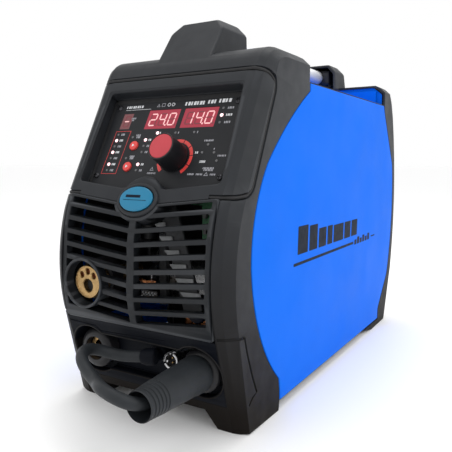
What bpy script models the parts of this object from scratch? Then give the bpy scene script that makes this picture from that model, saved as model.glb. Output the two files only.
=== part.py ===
"""Portable inverter MIG welding machine, modelled in Blender 4.5 (metres, +Z up).

The front faces -Y and the wire compartment with its door is on the -X side.
Everything hangs on one empty, the datum.  Seen from the datum, Y = 0 is the plane of
the front grille, Z = 0 the lower edge of the side panels and X = 0 the middle.  The
datum is placed so that the finished machine stands on Z = 0, centred on the origin.
"""
import bpy
import bmesh
from math import cos, hypot, pi, radians, sin
from mathutils import Matrix, Vector

# ---------------------------------------------------------------- driving dimensions
HALF_W = 0.110            # half the width over the side panels
FOOT_Z = -0.0095          # underside of the feet
FRONT_Y = -0.0062         # face of the grille at the height of the torch socket
BACK_Y = 0.5474           # back of the rear frame at mid-height
WALL = 0.003              # moulded plastic wall
SHEET = 0.0012            # sheet steel
GAP = 0.0004              # running gap between neighbouring pieces
PANEL_TOP = 0.337         # upper edge of the side panels
FRAME_TOP = 0.366         # top of the front frame
REAR_TOP = 0.368          # top of the rear frame
HUMP_FLOOR = 0.350        # where the handle mounts rise out of the frames
CHAMFER = 0.0145          # depth of the corner chamfers of the front frame
REAR_CHAMFER = 0.0084     # the same on the rear frame
OPENING_HALF_W = 0.0935   # half-width of the hole in the front frame
OPENING_Z = (0.0190, 0.3400)

# control panel: the plane of the printed plate, leaning back
LEAN = radians(27.3)
PLATE_ORIGIN = (0.0, 0.0327, 0.2363)
FASCIA_HEIGHT = 0.0121    # fascia surface above the plate
PLATE_HALF_W = 0.0865
PLATE_V = (-0.0135, 0.0935)
KNOB_UV = (0.0191, 0.0205)
KNOB_RADIUS, KNOB_HEIGHT = 0.0145, 0.0255
BUTTON_UV = ((-0.0389, 0.0352), (-0.0389, 0.0105))
BUTTON_RADIUS = 0.0053
BUTTON_STAND = 0.0016     # how far a button stands out of the plate
SCREW_UV = ((-0.076, 0.083), (0.076, 0.083), (-0.078, 0.0), (0.078, 0.0))
WINDOWS = {"program_display": (-0.0665, -0.0545, 0.0555, 0.0745),
           "voltage_display": (-0.0315, 0.0075, 0.0555, 0.0785),
           "speed_display": (0.0140, 0.0550, 0.0555, 0.0785)}

# grille and connectors
GRILLE_Z = (0.0885, 0.2185)
GRILLE_HALF_W = 0.0925
GRILLE_DEPTH = 0.010
SLAT_COUNT = 8
SLAT_PITCH = 0.0133
SLAT_HEIGHT = 0.0048
SLAT_RISE = 0.0095        # how much higher a slat is at its end than in the middle
BAR_HALF_W = 0.004
EURO_X, EURO_Z = -0.0618, 0.1276
EURO_RING = 0.0260
BADGE_V = -0.0300          # middle of the badge, down the slope of the panel
BADGE_SIZE = (0.0200, 0.0128)
SOCKET_X, SOCKET_Z = 0.067, 0.0522
SOCKET_RADIUS = 0.0215
POCKET_RADIUS = 0.0265
POCKET_FLOOR = 0.0280
PIN_SOCKET = (0.034, 0.0570)
CONNECTOR_Z = (0.0195, 0.0880)

# handle
TUBE_RADIUS, TUBE_Z = 0.0105, 0.3860
TUBE_Y = (0.124, 0.478)

# polarity lead: radius, and its centre line from the gland to the plug
LEAD_RADIUS = 0.0058
LEAD_ROUTE = ((0.0069, 0.0010, 0.0601), (-0.0025, -0.0015, 0.0594), (-0.0122, -0.0032, 0.0584),
              (-0.0222, -0.0064, 0.0592), (-0.0297, -0.0118, 0.0626), (-0.0347, -0.0206, 0.0669),
              (-0.0352, -0.0303, 0.0693), (-0.0317, -0.0405, 0.0694), (-0.0255, -0.0476, 0.0674),
              (-0.0175, -0.0527, 0.0641), (-0.0080, -0.0566, 0.0602), (0.0008, -0.0596, 0.0576),
              (0.0105, -0.0644, 0.0567), (0.0179, -0.0703, 0.0584), (0.0254, -0.0774, 0.0615),
              (0.0345, -0.0823, 0.0623), (0.0445, -0.0846, 0.0612), (0.0549, -0.0831, 0.0581),
              (0.0624, -0.0777, 0.0545), (0.0664, -0.0684, 0.0523), (0.0671, -0.0586, 0.0521),
              (0.0670, -0.0480, 0.0522))
PLUG_Y = (-0.0758, 0.0185)

# wire feeder and spool, all on the wire's own line (EURO_X, EURO_Z)
BULKHEAD_X = -0.0300
ROLL_Y = 0.118
ROLL_RADIUS, PRESSURE_RADIUS = 0.0150, 0.0110
SPOOL_Y, SPOOL_Z = 0.345, 0.155
SPOOL_RADIUS, SPOOL_WIDTH, WOUND_RADIUS = 0.100, 0.052, 0.0630

# door on the wire side
DOOR_BOTTOM = 0.0280
HINGE_X, HINGE_Z = -0.1072, 0.3335
LATCH_Y, LATCH_Z = 0.300, 0.0480

# fan
FAN_X, FAN_Y, FAN_Z = 0.042, 0.468, 0.165
FAN_RADIUS = 0.054


# ---------------------------------------------------------------- scene and materials
def clear_scene():
    for existing in list(bpy.data.objects):
        bpy.data.objects.remove(existing)
    for name in ("mig_welding_machine", "cutters"):
        group = bpy.data.collections.new(name)
        bpy.context.scene.collection.children.link(group)


def make_material(name, color, roughness, metallic=0.0):
    material = bpy.data.materials.new(name)
    material.use_nodes = True
    shader = material.node_tree.nodes["Principled BSDF"]
    shader.inputs["Base Color"].default_value = (*color, 1.0)
    shader.inputs["Roughness"].default_value = roughness
    shader.inputs["Metallic"].default_value = metallic
    material.diffuse_color = (*color, 1.0)
    return material


def add_empty(name, location, rotation=(0.0, 0.0, 0.0), parent=None):
    empty = bpy.data.objects.new(name, None)
    empty.location, empty.rotation_euler, empty.parent = location, rotation, parent
    bpy.data.collections["mig_welding_machine"].objects.link(empty)
    return empty


clear_scene()
DATUM = add_empty("datum", (0.0, 0.0, -FOOT_Z))
PANEL = add_empty("control_panel_datum", PLATE_ORIGIN, (pi / 2 - LEAN, 0.0, 0.0), DATUM)
PLASTIC = make_material("charcoal_plastic", (0.055, 0.058, 0.062), 0.5)
BLACK = make_material("black_plastic", (0.02, 0.02, 0.023), 0.45)
BLUE = make_material("blue_paint", (0.02, 0.2, 0.9), 0.35)
GALVANISED = make_material("galvanised_sheet", (0.55, 0.56, 0.57), 0.4, 1.0)
ALUMINIUM = make_material("aluminium", (0.75, 0.76, 0.78), 0.3, 1.0)
STEEL = make_material("steel", (0.5, 0.5, 0.5), 0.35, 1.0)
BRASS = make_material("brass", (0.8, 0.58, 0.22), 0.3, 1.0)
COPPER = make_material("copper_winding", (0.72, 0.32, 0.16), 0.4, 1.0)
RED = make_material("red_plastic", (0.65, 0.05, 0.06), 0.4)
TURQUOISE = make_material("turquoise_badge", (0.03, 0.42, 0.62), 0.35)
BOARD = make_material("circuit_board", (0.03, 0.2, 0.09), 0.5)
WINDOW = make_material("display_window", (0.25, 0.01, 0.02), 0.2)
RUBBER = make_material("rubber", (0.03, 0.032, 0.035), 0.7)
SPOOL = make_material("spool_plastic", (0.12, 0.12, 0.13), 0.5)
WIRE = make_material("wound_wire", (0.75, 0.45, 0.3), 0.35, 1.0)

# ---------------------------------------------------------------- modelling helpers
def add_mesh(name, bm, material, location=(0.0, 0.0, 0.0), parent=DATUM, smooth=False):
    """Turn a bmesh into a named object; a cutter has no material."""
    bmesh.ops.recalc_face_normals(bm, faces=bm.faces)
    mesh = bpy.data.meshes.new(name)
    bm.to_mesh(mesh)
    bm.free()
    if smooth:
        mesh.shade_smooth()
        mesh.set_sharp_from_angle(angle=radians(35))
    part = bpy.data.objects.new(name, mesh)
    part.location, part.parent = location, parent
    bpy.data.collections["mig_welding_machine" if material else "cutters"].objects.link(part)
    if material:
        mesh.materials.append(material)
    else:
        part.hide_render, part.display_type = True, "WIRE"
    return part


def box_bmesh(low, high):
    bm = bmesh.new()
    bmesh.ops.create_cube(bm, size=1.0)
    size = [high[i] - low[i] for i in range(3)]
    centre = [(high[i] + low[i]) / 2 for i in range(3)]
    bmesh.ops.transform(bm, matrix=Matrix.Translation(centre) @ Matrix.Diagonal((*size, 1.0)), verts=bm.verts)
    return bm


def box(name, low, high, material=None, parent=DATUM, bevel=0.0):
    part = add_mesh(name, box_bmesh(low, high), material, parent=parent)
    if bevel:
        rounding = part.modifiers.new("rounded_edges", "BEVEL")
        rounding.width, rounding.segments, rounding.limit_method = bevel, 2, "ANGLE"
    return part


def axis_matrix(axis):
    """Rotation that turns local +Z to the given axis."""
    return Vector((0.0, 0.0, 1.0)).rotation_difference(Vector(axis)).to_matrix().to_4x4()


def turned(name, profile, location, axis, material=None, parent=DATUM, steps=20):
    """A turned piece: profile is (radius, height) down its outer side, height along axis."""
    bm = bmesh.new()
    corners = [bm.verts.new((radius, 0.0, height)) for radius, height in profile]
    for first, second in zip(corners, corners[1:]):
        bm.edges.new((first, second))
    if profile[0][0] > 0.0 and profile[-1][0] > 0.0:
        bm.edges.new((corners[-1], corners[0]))
    mesh = bpy.data.meshes.new(name)
    bm.to_mesh(mesh)
    bm.free()
    part = bpy.data.objects.new(name, mesh)
    part.parent, part.location = parent, location
    part.rotation_euler = axis_matrix(axis).to_euler()
    screw = part.modifiers.new("turning", "SCREW")
    screw.steps = screw.render_steps = steps
    screw.use_merge_vertices, screw.merge_threshold = True, 0.00001
    bpy.data.collections["mig_welding_machine" if material else "cutters"].objects.link(part)
    if material:
        mesh.materials.append(material)
    else:
        part.hide_render, part.display_type = True, "WIRE"
    return part


def cylinder(name, radius, low, high, location, axis, material=None, parent=DATUM, steps=20):
    """A plain round bar or disc between two heights on an axis."""
    profile = ((0.0, high), (radius, high), (radius, low), (0.0, low))
    return turned(name, profile, location, axis, material, parent, steps)


def prism_bmesh(outline, low, high, plane):
    """Extrude an outline; plane 'YZ' extrudes along X, 'XZ' along Y and 'XY' along Z."""
    place = {"YZ": lambda a, b, h: (h, a, b), "XZ": lambda a, b, h: (a, h, b),
             "XY": lambda a, b, h: (a, b, h)}[plane]
    bm = bmesh.new()
    face = bm.faces.new([bm.verts.new(place(a, b, low)) for a, b in outline])
    grown = bmesh.ops.extrude_face_region(bm, geom=[face])["geom"]
    shift = Vector(place(0.0, 0.0, high - low))
    bmesh.ops.translate(bm, vec=shift, verts=[v for v in grown if isinstance(v, bmesh.types.BMVert)])
    return bm


def prism(name, outline, low, high, plane, material=None, parent=DATUM):
    return add_mesh(name, prism_bmesh(outline, low, high, plane), material, parent=parent)


def merged(name, pieces, material=None, parent=DATUM):
    """One object from several bmeshes that don't touch each other."""
    whole = bmesh.new()
    for piece in pieces:
        mesh = bpy.data.meshes.new("piece")
        bmesh.ops.recalc_face_normals(piece, faces=piece.faces)
        piece.to_mesh(mesh)
        piece.free()
        whole.from_mesh(mesh)
        bpy.data.meshes.remove(mesh)
    return add_mesh(name, whole, material, parent=parent)


def lofted(sections):
    """Skin a row of (x, outline in YZ) sections of equal length and close both ends."""
    bm = bmesh.new()
    rings = [[bm.verts.new((x, y, z)) for y, z in outline] for x, outline in sections]
    bm.faces.new(rings[0])
    bm.faces.new(rings[-1])
    for near, far in zip(rings, rings[1:]):
        for i in range(len(near)):
            j = (i + 1) % len(near)
            bm.faces.new((near[i], near[j], far[j], far[i]))
    return bm


def combine(part, other, operation):
    """Boolean with a helper; helpers in a union are kept as cutters too."""
    step = part.modifiers.new(f"{operation.lower()}_{other.name}"[:60], "BOOLEAN")
    step.operation, step.solver, step.object = operation, "EXACT", other
    return part


def cut(part, *cutters):
    for cutter in cutters:
        combine(part, cutter, "DIFFERENCE")
    return part


def join(part, *helpers):
    for helper in helpers:
        combine(part, helper, "UNION")
    return part


def arc(start, via, end, steps):
    """Points on the circle through three points, without the last one."""
    (ax, ay), (bx, by), (cx, cy) = start, via, end
    d = 2 * (ax * (by - cy) + bx * (cy - ay) + cx * (ay - by))
    a2, b2, c2 = ax * ax + ay * ay, bx * bx + by * by, cx * cx + cy * cy
    ux = (a2 * (by - cy) + b2 * (cy - ay) + c2 * (ay - by)) / d
    uy = (a2 * (cx - bx) + b2 * (ax - cx) + c2 * (bx - ax)) / d
    radius = hypot(ax - ux, ay - uy)
    first, middle, last = (Vector((x - ux, y - uy)) for x, y in (start, via, end))
    sweep = first.angle_signed(middle) + middle.angle_signed(last)
    base = Vector((1.0, 0.0)).angle_signed(first)
    angles = [-(base + sweep * i / steps) for i in range(steps)]
    return [(ux + radius * cos(a), uy + radius * sin(a)) for a in angles]


def offset(points, distances):
    """Move an open run of points to its right by one distance each."""
    moved = []
    for i, (point, distance) in enumerate(zip(points, distances)):
        before, after = points[max(i - 1, 0)], points[min(i + 1, len(points) - 1)]
        along = Vector((after[0] - before[0], after[1] - before[1])).normalized()
        moved.append((point[0] + along.y * distance, point[1] - along.x * distance))
    return moved


# ---------------------------------------------------------------- shared outlines (Y, Z)
def front_curve():
    """The front of the machine from the foot up to the top, as seen from the side."""
    low = [(0.0300, FOOT_Z)]
    low += arc((-0.0020, 0.0965), (FRONT_Y, 0.1265), (0.0037, 0.2037), 7)
    return low + [(0.0037, 0.2037), (0.0106, 0.2198), (0.0220, 0.2420), (0.0600, 0.3160),
                  (0.0757, 0.3465), (0.0835, 0.3580), (0.0960, 0.3642), (0.1120, FRAME_TOP)]


def front_y(z):
    """Depth of the front surface at a height."""
    run = front_curve()
    for (y0, z0), (y1, z1) in zip(run, run[1:]):
        if z0 <= z <= z1:
            return y0 + (y1 - y0) * (z - z0) / (z1 - z0)
    return run[-1][0]


def panel_front_edge():
    """Front edge of the side panels, from bottom to top."""
    edge = [(0.1006, 0.0)] + arc((0.0980, 0.0247), (0.0470, 0.1010), (0.0363, 0.1520), 7)
    edge += arc((0.0363, 0.1520), (0.0467, 0.2110), (0.0685, 0.2500), 6)
    edge += arc((0.0685, 0.2500), (0.1030, 0.2820), (0.1695, 0.3280), 5)
    return edge + [(0.1695, 0.3280), (0.1696, PANEL_TOP)]


def panel_rear_edge():
    """Rear edge of the side panels, from top to bottom."""
    edge = [(0.4620, PANEL_TOP), (0.4675, 0.3250)]
    edge += arc((0.5200, 0.2480), (0.5270, 0.1620), (0.5070, 0.0650), 8)
    return edge + [(0.5070, 0.0650), (0.4614, 0.0167), (0.4616, 0.0)]


def rear_curve():
    """The back of the machine from the foot up to the top."""
    low = [(0.5000, FOOT_Z)]
    low += arc((0.5364, 0.0730), (BACK_Y, 0.1650), (0.5234, 0.3220), 9)
    return low + [(0.5234, 0.3220), (0.5140, 0.3480), (0.5060, 0.3600), (0.4950, REAR_TOP)]


# ---------------------------------------------------------------- casing
def hoop_sections(outer_run, closing, chamfers, inset, half_w):
    """Three sections a side: the run is set back towards the side faces, as a chamfer."""
    stations = ((0.0, 0.0155), (0.31, 0.0085), (1.0, 0.0))
    sections = []
    for share, back in stations:
        run = offset(outer_run, [inset + share * c for c in chamfers])
        sections.append((half_w - back, run + closing))
    mirrored = [(-x, outline) for x, outline in reversed(sections)]
    return mirrored + sections


def foot_tunnel(name, y0, y1):
    """Clears the underside between the two feet of a frame."""
    outline = ((-0.077, FOOT_Z - 0.01), (-0.077, FOOT_Z), (-0.066, 0.0105), (0.066, 0.0105),
               (0.077, FOOT_Z), (0.077, FOOT_Z - 0.01))
    return prism(name, outline, y0, y1, "XZ")


def hump_bmesh(front, back, inset, floor):
    """Handle mount: flat top, sloped shoulders, a leaning front or back face.

    front and back are the Y of those faces at the floor, the shoulder and the top."""
    levels = ((floor, 0.0355 - inset), (0.3930 - inset, 0.0340 - inset), (0.4030 - inset, 0.0240 - inset))
    bm = bmesh.new()
    rings = []
    for (z, half), y_front, y_back in zip(levels, front, back):
        corners = ((-half, y_front + inset), (half, y_front + inset),
                   (half, y_back - inset), (-half, y_back - inset))
        rings.append([bm.verts.new((x, y, z)) for x, y in corners])
    bm.faces.new(rings[0])
    bm.faces.new(rings[-1])
    for low, high in zip(rings, rings[1:]):
        for i in range(4):
            j = (i + 1) % 4
            bm.faces.new((low[i], low[j], high[j], high[i]))
    return bm


def front_frame():
    run = front_curve()
    run_chamfers = [0.35 * CHAMFER] + [CHAMFER] * (len(run) - 4) + [0.8 * CHAMFER] * 4
    run = run + [(0.1675, FRAME_TOP)]
    rear_edge = [(y - 0.0008, z) for y, z in reversed(panel_front_edge()[1:])]
    rear_edge[0] = (0.1675, PANEL_TOP + 0.0006)
    closing = rear_edge + [(0.0995, -0.0006), (0.0980, FOOT_Z)]
    shell = lofted(hoop_sections(run, closing, run_chamfers, 0.0, HALF_W))
    frame = add_mesh("front_frame", shell, PLASTIC)
    back = (0.1640, 0.1640, 0.1600)
    hump = add_mesh("front_hump", hump_bmesh((0.0786, 0.1102, 0.1180), back, 0.0, HUMP_FLOOR), None)
    inner_closing = [(0.30, FRAME_TOP - WALL), (0.30, FOOT_Z + 0.0230)]
    inner_run = [(0.0270, FOOT_Z + 0.0230)] + run[1:-1]
    cavity = add_mesh("front_cavity", lofted(hoop_sections(
        inner_run, inner_closing, [0.9 * c for c in run_chamfers[:-1]], WALL, HALF_W - WALL)), None)
    room = hump_bmesh((0.0806, 0.1125, 0.1200), back, WALL, HUMP_FLOOR - 0.0100)
    hump_room = add_mesh("front_hump_room", room, None)
    opening = box("front_opening", (-OPENING_HALF_W, -0.05, OPENING_Z[0]),
                  (OPENING_HALF_W, 0.086, OPENING_Z[1]))
    tube_hole = cylinder("front_tube_hole", TUBE_RADIUS + GAP, 0.140, 0.200, (0, 0, TUBE_Z), (0, 1, 0))
    tray_room = box("front_tray_room", (WALL - HALF_W, 0.06, FOOT_Z + 0.0230), (HALF_W - WALL, 0.30, 0.05))
    tunnel = foot_tunnel("front_tunnel", -0.05, 0.20)
    join(frame, hump)
    return cut(frame, cavity, tray_room, hump_room, opening, tube_hole, tunnel)


def rear_frame():
    run = rear_curve()
    run_chamfers = [0.3 * REAR_CHAMFER] + [REAR_CHAMFER] * (len(run) - 3) + [1.3 * REAR_CHAMFER] * 2
    run = run + [(0.4650, REAR_TOP)]
    run_chamfers.append(1.3 * REAR_CHAMFER)
    front_edge = [(y + 0.0008, z) for y, z in panel_rear_edge()[1:-1]]
    closing = [(0.4650, PANEL_TOP + 0.0010)] + front_edge
    closing += [(0.4630, -0.0008), (0.3980, -0.0008), (0.4280, FOOT_Z)]
    run, closing = list(reversed(run)), list(reversed(closing))
    run_chamfers.reverse()
    shell = lofted(hoop_sections(run, closing, run_chamfers, 0.0, HALF_W))
    frame = add_mesh("rear_frame", shell, PLASTIC)
    hump = add_mesh("rear_hump", hump_bmesh((0.4480,) * 3, (0.5060, 0.4930, 0.4880), 0.0, HUMP_FLOOR), None)
    inner_run = run[:-1] + [(0.4960, FOOT_Z + 0.0230)]
    inner_closing = [(0.20, FOOT_Z + 0.0230), (0.20, REAR_TOP - WALL)]
    cavity = add_mesh("rear_cavity", lofted(hoop_sections(
        inner_run, inner_closing, [0.9 * c for c in run_chamfers], WALL, HALF_W - WALL)), None)
    room = hump_bmesh((0.4300,) * 3, (0.5030, 0.4900, 0.4850), WALL, HUMP_FLOOR - 0.0100)
    hood = add_mesh("rear_hood_room", room, None)
    opening = box("rear_opening", (-0.0900, 0.480, 0.045), (0.0900, 0.580, 0.335))
    tray_room = box("rear_tray_room", (WALL - HALF_W, 0.30, FOOT_Z + 0.0230), (HALF_W - WALL, 0.4930, 0.05))
    join(frame, hump)
    return cut(frame, cavity, tray_room, hood, opening, foot_tunnel("rear_tunnel", 0.38, 0.60))


def right_side_panel():
    """Right-hand panel: one sheet with a lip along its upper edge, turned inwards."""
    panel = prism("right_side_panel", panel_front_edge() + panel_rear_edge(),
                  HALF_W - SHEET, HALF_W, "YZ", BLUE)
    lip = box("right_panel_lip", (0.0980, 0.1780, PANEL_TOP - SHEET), (HALF_W, 0.4550, PANEL_TOP))
    return join(panel, lip)


def wire_door():
    """Left-hand panel, hung from its upper edge; a fixed sill closes the bottom."""
    whole = panel_front_edge() + panel_rear_edge()
    door = prism("wire_door", whole, -HALF_W, -HALF_W + SHEET, "YZ", BLUE)
    below = box("door_below", (-0.12, -0.02, -0.05), (-0.10, 0.6, DOOR_BOTTOM))
    knuckles = merged("door_knuckles", [
        prism_bmesh(((HINGE_X - 0.0024, HINGE_Z - 0.0030), (HINGE_X + 0.0028, HINGE_Z - 0.0030),
                     (HINGE_X + 0.0028, HINGE_Z + 0.0028), (HINGE_X - 0.0024, HINGE_Z + 0.0028)),
                    y, y + 0.024, "XZ") for y in (0.200, 0.300, 0.410)])
    bore = cylinder("door_bore", 0.00155, 0.15, 0.48, (HINGE_X, 0, HINGE_Z), (0, 1, 0), steps=16)
    latch_hole = cylinder("latch_hole", 0.0093, -0.12, -0.10, (0, LATCH_Y, LATCH_Z), (1, 0, 0), steps=16)
    return cut(join(cut(door, below), knuckles), bore, latch_hole)


def door_fittings():
    """Fixed sill below the door, the hinge rod with its brackets, and the latch."""
    sill = prism("door_sill", panel_front_edge() + panel_rear_edge(), -HALF_W, -HALF_W + SHEET, "YZ", BLUE)
    above = box("sill_above", (-0.12, -0.02, DOOR_BOTTOM - 0.0010), (-0.10, 0.6, 0.40))
    cut(sill, above)
    cylinder("door_hinge_rod", 0.0015, 0.195, 0.440, (HINGE_X, 0, HINGE_Z), (0, 1, 0), STEEL, steps=16)
    latch = turned("door_latch", ((0.0, 0.0), (0.0088, 0.0), (0.0088, -0.0040), (0.0, -0.0040)),
                   (-HALF_W, LATCH_Y, LATCH_Z), (-1, 0, 0), BLACK, steps=16)
    tongue = box("latch_tongue", (-HALF_W + 0.0017, LATCH_Y - 0.0250, LATCH_Z - 0.0045),
                 (-HALF_W + 0.0037, LATCH_Y + 0.0250, LATCH_Z + 0.0045))
    slot = box("latch_slot", (-0.12, LATCH_Y - 0.0070, LATCH_Z - 0.0011),
               (-HALF_W + 0.0009, LATCH_Y + 0.0070, LATCH_Z + 0.0011))
    cut(join(latch, tongue), slot)


def top_cover():
    """Roof sheet between the frames, its ends turned up and its sides turned down."""
    cover = box("top_cover", (-0.1028, 0.1720, 0.3350), (0.0975, 0.4640, 0.3350 + SHEET), BLUE)
    front_end = box("cover_front_end", (-0.0960, 0.1700, 0.3350), (0.0960, 0.1712, 0.3600))
    front_foot = box("cover_front_foot", (-0.0960, 0.1700, 0.3350), (0.0960, 0.1740, 0.3350 + SHEET))
    rear_end = box("cover_rear_end", (-0.0960, 0.4630, 0.3350), (0.0960, 0.4642, 0.3600))
    return join(cover, front_foot, front_end, rear_end)


def base_tray():
    tray = box("base_tray", (-0.1060, 0.0900, 0.0140), (0.1060, 0.4900, 0.0250), GALVANISED)
    room = box("tray_room", (-0.1048, 0.0912, 0.0152), (0.1048, 0.4888, 0.05))
    vents = merged("tray_vents", [box_bmesh((0.010 + 0.016 * i, 0.250, 0.0), (0.018 + 0.016 * i, 0.330, 0.02))
                                  for i in range(5)])
    return cut(tray, room, vents)


def rear_panel():
    """Sheet that carries the fan grille, the switch, the gas inlet and the mains gland."""
    outline = ((-0.0930, 0.0400), (0.0930, 0.0400), (0.1060, 0.0760), (0.1060, 0.3200), (0.0960, 0.3420),
               (-0.0960, 0.3420), (-0.1060, 0.3200), (-0.1060, 0.0760))
    panel = prism("rear_panel", outline, 0.5000, 0.5012, "XZ", GALVANISED)
    slots = []
    for z in (0.011 * i for i in range(-4, 5)):
        w = (FAN_RADIUS ** 2 - z ** 2) ** 0.5 - 0.004
        slots.append(box_bmesh((FAN_X - w, 0.48, FAN_Z + z - 0.003), (FAN_X + w, 0.52, FAN_Z + z + 0.003)))
    holes = [box_bmesh((-0.0620, 0.48, 0.2700), (-0.0340, 0.52, 0.2920))]
    round_holes = [cylinder(f"rear_hole_{i}", radius, 0.48, 0.52, (x, 0, z), (0, 1, 0), steps=16)
                   for i, (x, z, radius) in enumerate(((-0.064, 0.222, 0.0074), (0.046, 0.268, 0.0104)))]
    return cut(panel, merged("rear_slots", slots + holes), *round_holes)


def handle():
    cylinder("handle_tube", TUBE_RADIUS, TUBE_Y[0], TUBE_Y[1], (0, 0, TUBE_Z), (0, 1, 0), ALUMINIUM)
    seat = box("handle_seat", (-0.0220, 0.4560, 0.3720), (0.0220, 0.4800, 0.3975), BLACK, bevel=0.005)
    hole = cylinder("seat_hole", TUBE_RADIUS + GAP, 0.44, 0.4785, (0, 0, TUBE_Z), (0, 1, 0))
    cut(seat, hole)


# ---------------------------------------------------------------- control panel
def panel_box(name, u0, u1, v0, v1, w0, w1, material=None, bevel=0.0):
    return box(name, (u0, v0, w0), (u1, v1, w1), material, PANEL, bevel)


def recess_outline(grow):
    """Opening of the fascia over the plate; a shallow V below with a bow over the badge."""
    side_low, side_high = 0.0880 + grow, 0.0840 + grow
    low, high = -0.0100 - grow, 0.0947 + grow
    bow = arc((0.0235, -0.0175 - grow), (0.0018, -0.0050 - grow), (-0.0200, -0.0175 - grow), 8)
    corners = [(-side_high, high), (-side_low, low), (-0.0260, -0.0185 - grow)] + list(reversed(bow))
    return corners + [(0.0295, -0.0185 - grow), (side_low, low), (side_high, high)]


def control_fascia():
    """Leaning bezel with a deep frame around the plate and the boss of the badge."""
    low, high = -0.0250, 0.1080
    half = OPENING_HALF_W - GAP
    fascia = panel_box("control_fascia", -half, half, low, high, -0.0040, FASCIA_HEIGHT, PLASTIC)
    recess = prism("fascia_recess", recess_outline(0.0), 0.0, 0.05, "XY", None, PANEL)
    behind = panel_box("fascia_behind", -PLATE_HALF_W - GAP, PLATE_HALF_W + GAP, PLATE_V[0] - GAP,
                       PLATE_V[1] + GAP, -0.05, 0.0)
    boss = prism("badge_boss", badge_outline(0.0045), 0.0, 0.0145, "XY", None, PANEL)
    grille_line = box("fascia_grille_line", (-0.2, -0.1, 0.0), (0.2, 0.2, GRILLE_Z[1] + GAP))
    return join(cut(fascia, recess, behind, grille_line), boss)


def badge_outline(grow):
    half_u, half_v = BADGE_SIZE[0] + grow, BADGE_SIZE[1] + grow
    return [(half_u * cos(a), BADGE_V + half_v * sin(a)) for a in (2 * pi * i / 32 for i in range(32))]


def control_plate():
    plate = panel_box("control_plate", -PLATE_HALF_W, PLATE_HALF_W, *PLATE_V, -0.0035, -0.0003, BLACK)
    windows = merged("plate_windows", [box_bmesh((u0, v0, -0.02), (u1, v1, 0.02))
                                       for u0, u1, v0, v1 in WINDOWS.values()], parent=PANEL)
    round_holes = [(KNOB_UV, 0.0045)] + [(uv, BUTTON_RADIUS + GAP) for uv in BUTTON_UV]
    holes = [cylinder(f"plate_hole_{i}", radius, -0.02, 0.02, (*uv, 0), (0, 0, 1), parent=PANEL, steps=16)
             for i, (uv, radius) in enumerate(round_holes)]
    return cut(plate, windows, *holes)


def panel_electronics():
    """Board behind the plate with the displays, the encoder and the button switches."""
    board = panel_box("control_pcb", -0.0740, 0.0740, -0.0050, 0.0840, -0.0176, -0.0160, BOARD)
    for name, (u0, u1, v0, v1) in WINDOWS.items():
        panel_box(name, u0 + GAP, u1 - GAP, v0 + GAP, v1 - GAP, -0.0157, -0.0006, WINDOW)
    stem = ((0.0, 0.0125), (0.0030, 0.0125), (0.0030, -0.0075), (0.0042, -0.0075), (0.0042, -0.0090),
            (0.0065, -0.0090), (0.0065, -0.0157), (0.0, -0.0157))
    turned("encoder", stem, (*KNOB_UV, 0.0), (0, 0, 1), STEEL, PANEL, 16)
    return board


def control_knob():
    """Turning knob with a blind bore over the encoder's shaft; its origin is on its axis."""
    profile = ((0.0, KNOB_HEIGHT), (KNOB_RADIUS - 0.0012, KNOB_HEIGHT), (KNOB_RADIUS, KNOB_HEIGHT - 0.0012),
               (KNOB_RADIUS + 0.0015, 0.0006), (0.0034, 0.0006), (0.0034, 0.0130), (0.0, 0.0130))
    knob = turned("control_knob", profile, (*KNOB_UV, 0.0), (0, 0, 1), BLACK, PANEL, 24)
    return knob


def buttons():
    """Push buttons that travel straight into the plate."""
    for name, uv in zip(("upper_button", "lower_button"), BUTTON_UV):
        profile = ((0.0, BUTTON_STAND), (BUTTON_RADIUS - 0.0005, BUTTON_STAND),
                   (BUTTON_RADIUS, BUTTON_STAND - 0.0005), (BUTTON_RADIUS, -0.0050),
                   (0.0020, -0.0050), (0.0020, -0.0145), (0.0, -0.0145))
        turned(name, profile, (*uv, 0.0), (0, 0, 1), RED, PANEL, 16)


def plate_screws():
    for i, uv in enumerate(SCREW_UV):
        profile = ((0.0, 0.0022), (0.0024, 0.0020), (0.0034, 0.0), (0.0, 0.0))
        turned(f"plate_screw_{i + 1}", profile, (*uv, 0.0), (0, 0, 1), STEEL, PANEL, 12)


def badge():
    """Plain oval badge on the boss under the plate."""
    return prism("badge", badge_outline(0.0), 0.0148, 0.0168, "XY", TURQUOISE, PANEL)


# ---------------------------------------------------------------- grille and connectors
def front_block(half_w, z0, z1, depth):
    """Slab that follows the curved front between two heights."""
    levels = [z0 + (z1 - z0) * i / 10 for i in range(11)]
    face = [(front_y(z), z) for z in levels]
    back = [(front_y(z) + depth, z) for z in reversed(levels[::2])]
    return prism_bmesh(face + back, -half_w, half_w, "YZ")


def slat_gap(side, low, high, x0, x1):
    """One opening between two chevron slats, on one side of the middle bar."""
    def rise(x):
        return SLAT_RISE * x / 0.0870
    outline = ((side * x0, low + rise(x0)), (side * x1, low + rise(x1)),
               (side * x1, high + rise(x1)), (side * x0, high + rise(x0)))
    return prism_bmesh(outline, -0.05, 0.10, "XZ")


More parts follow.
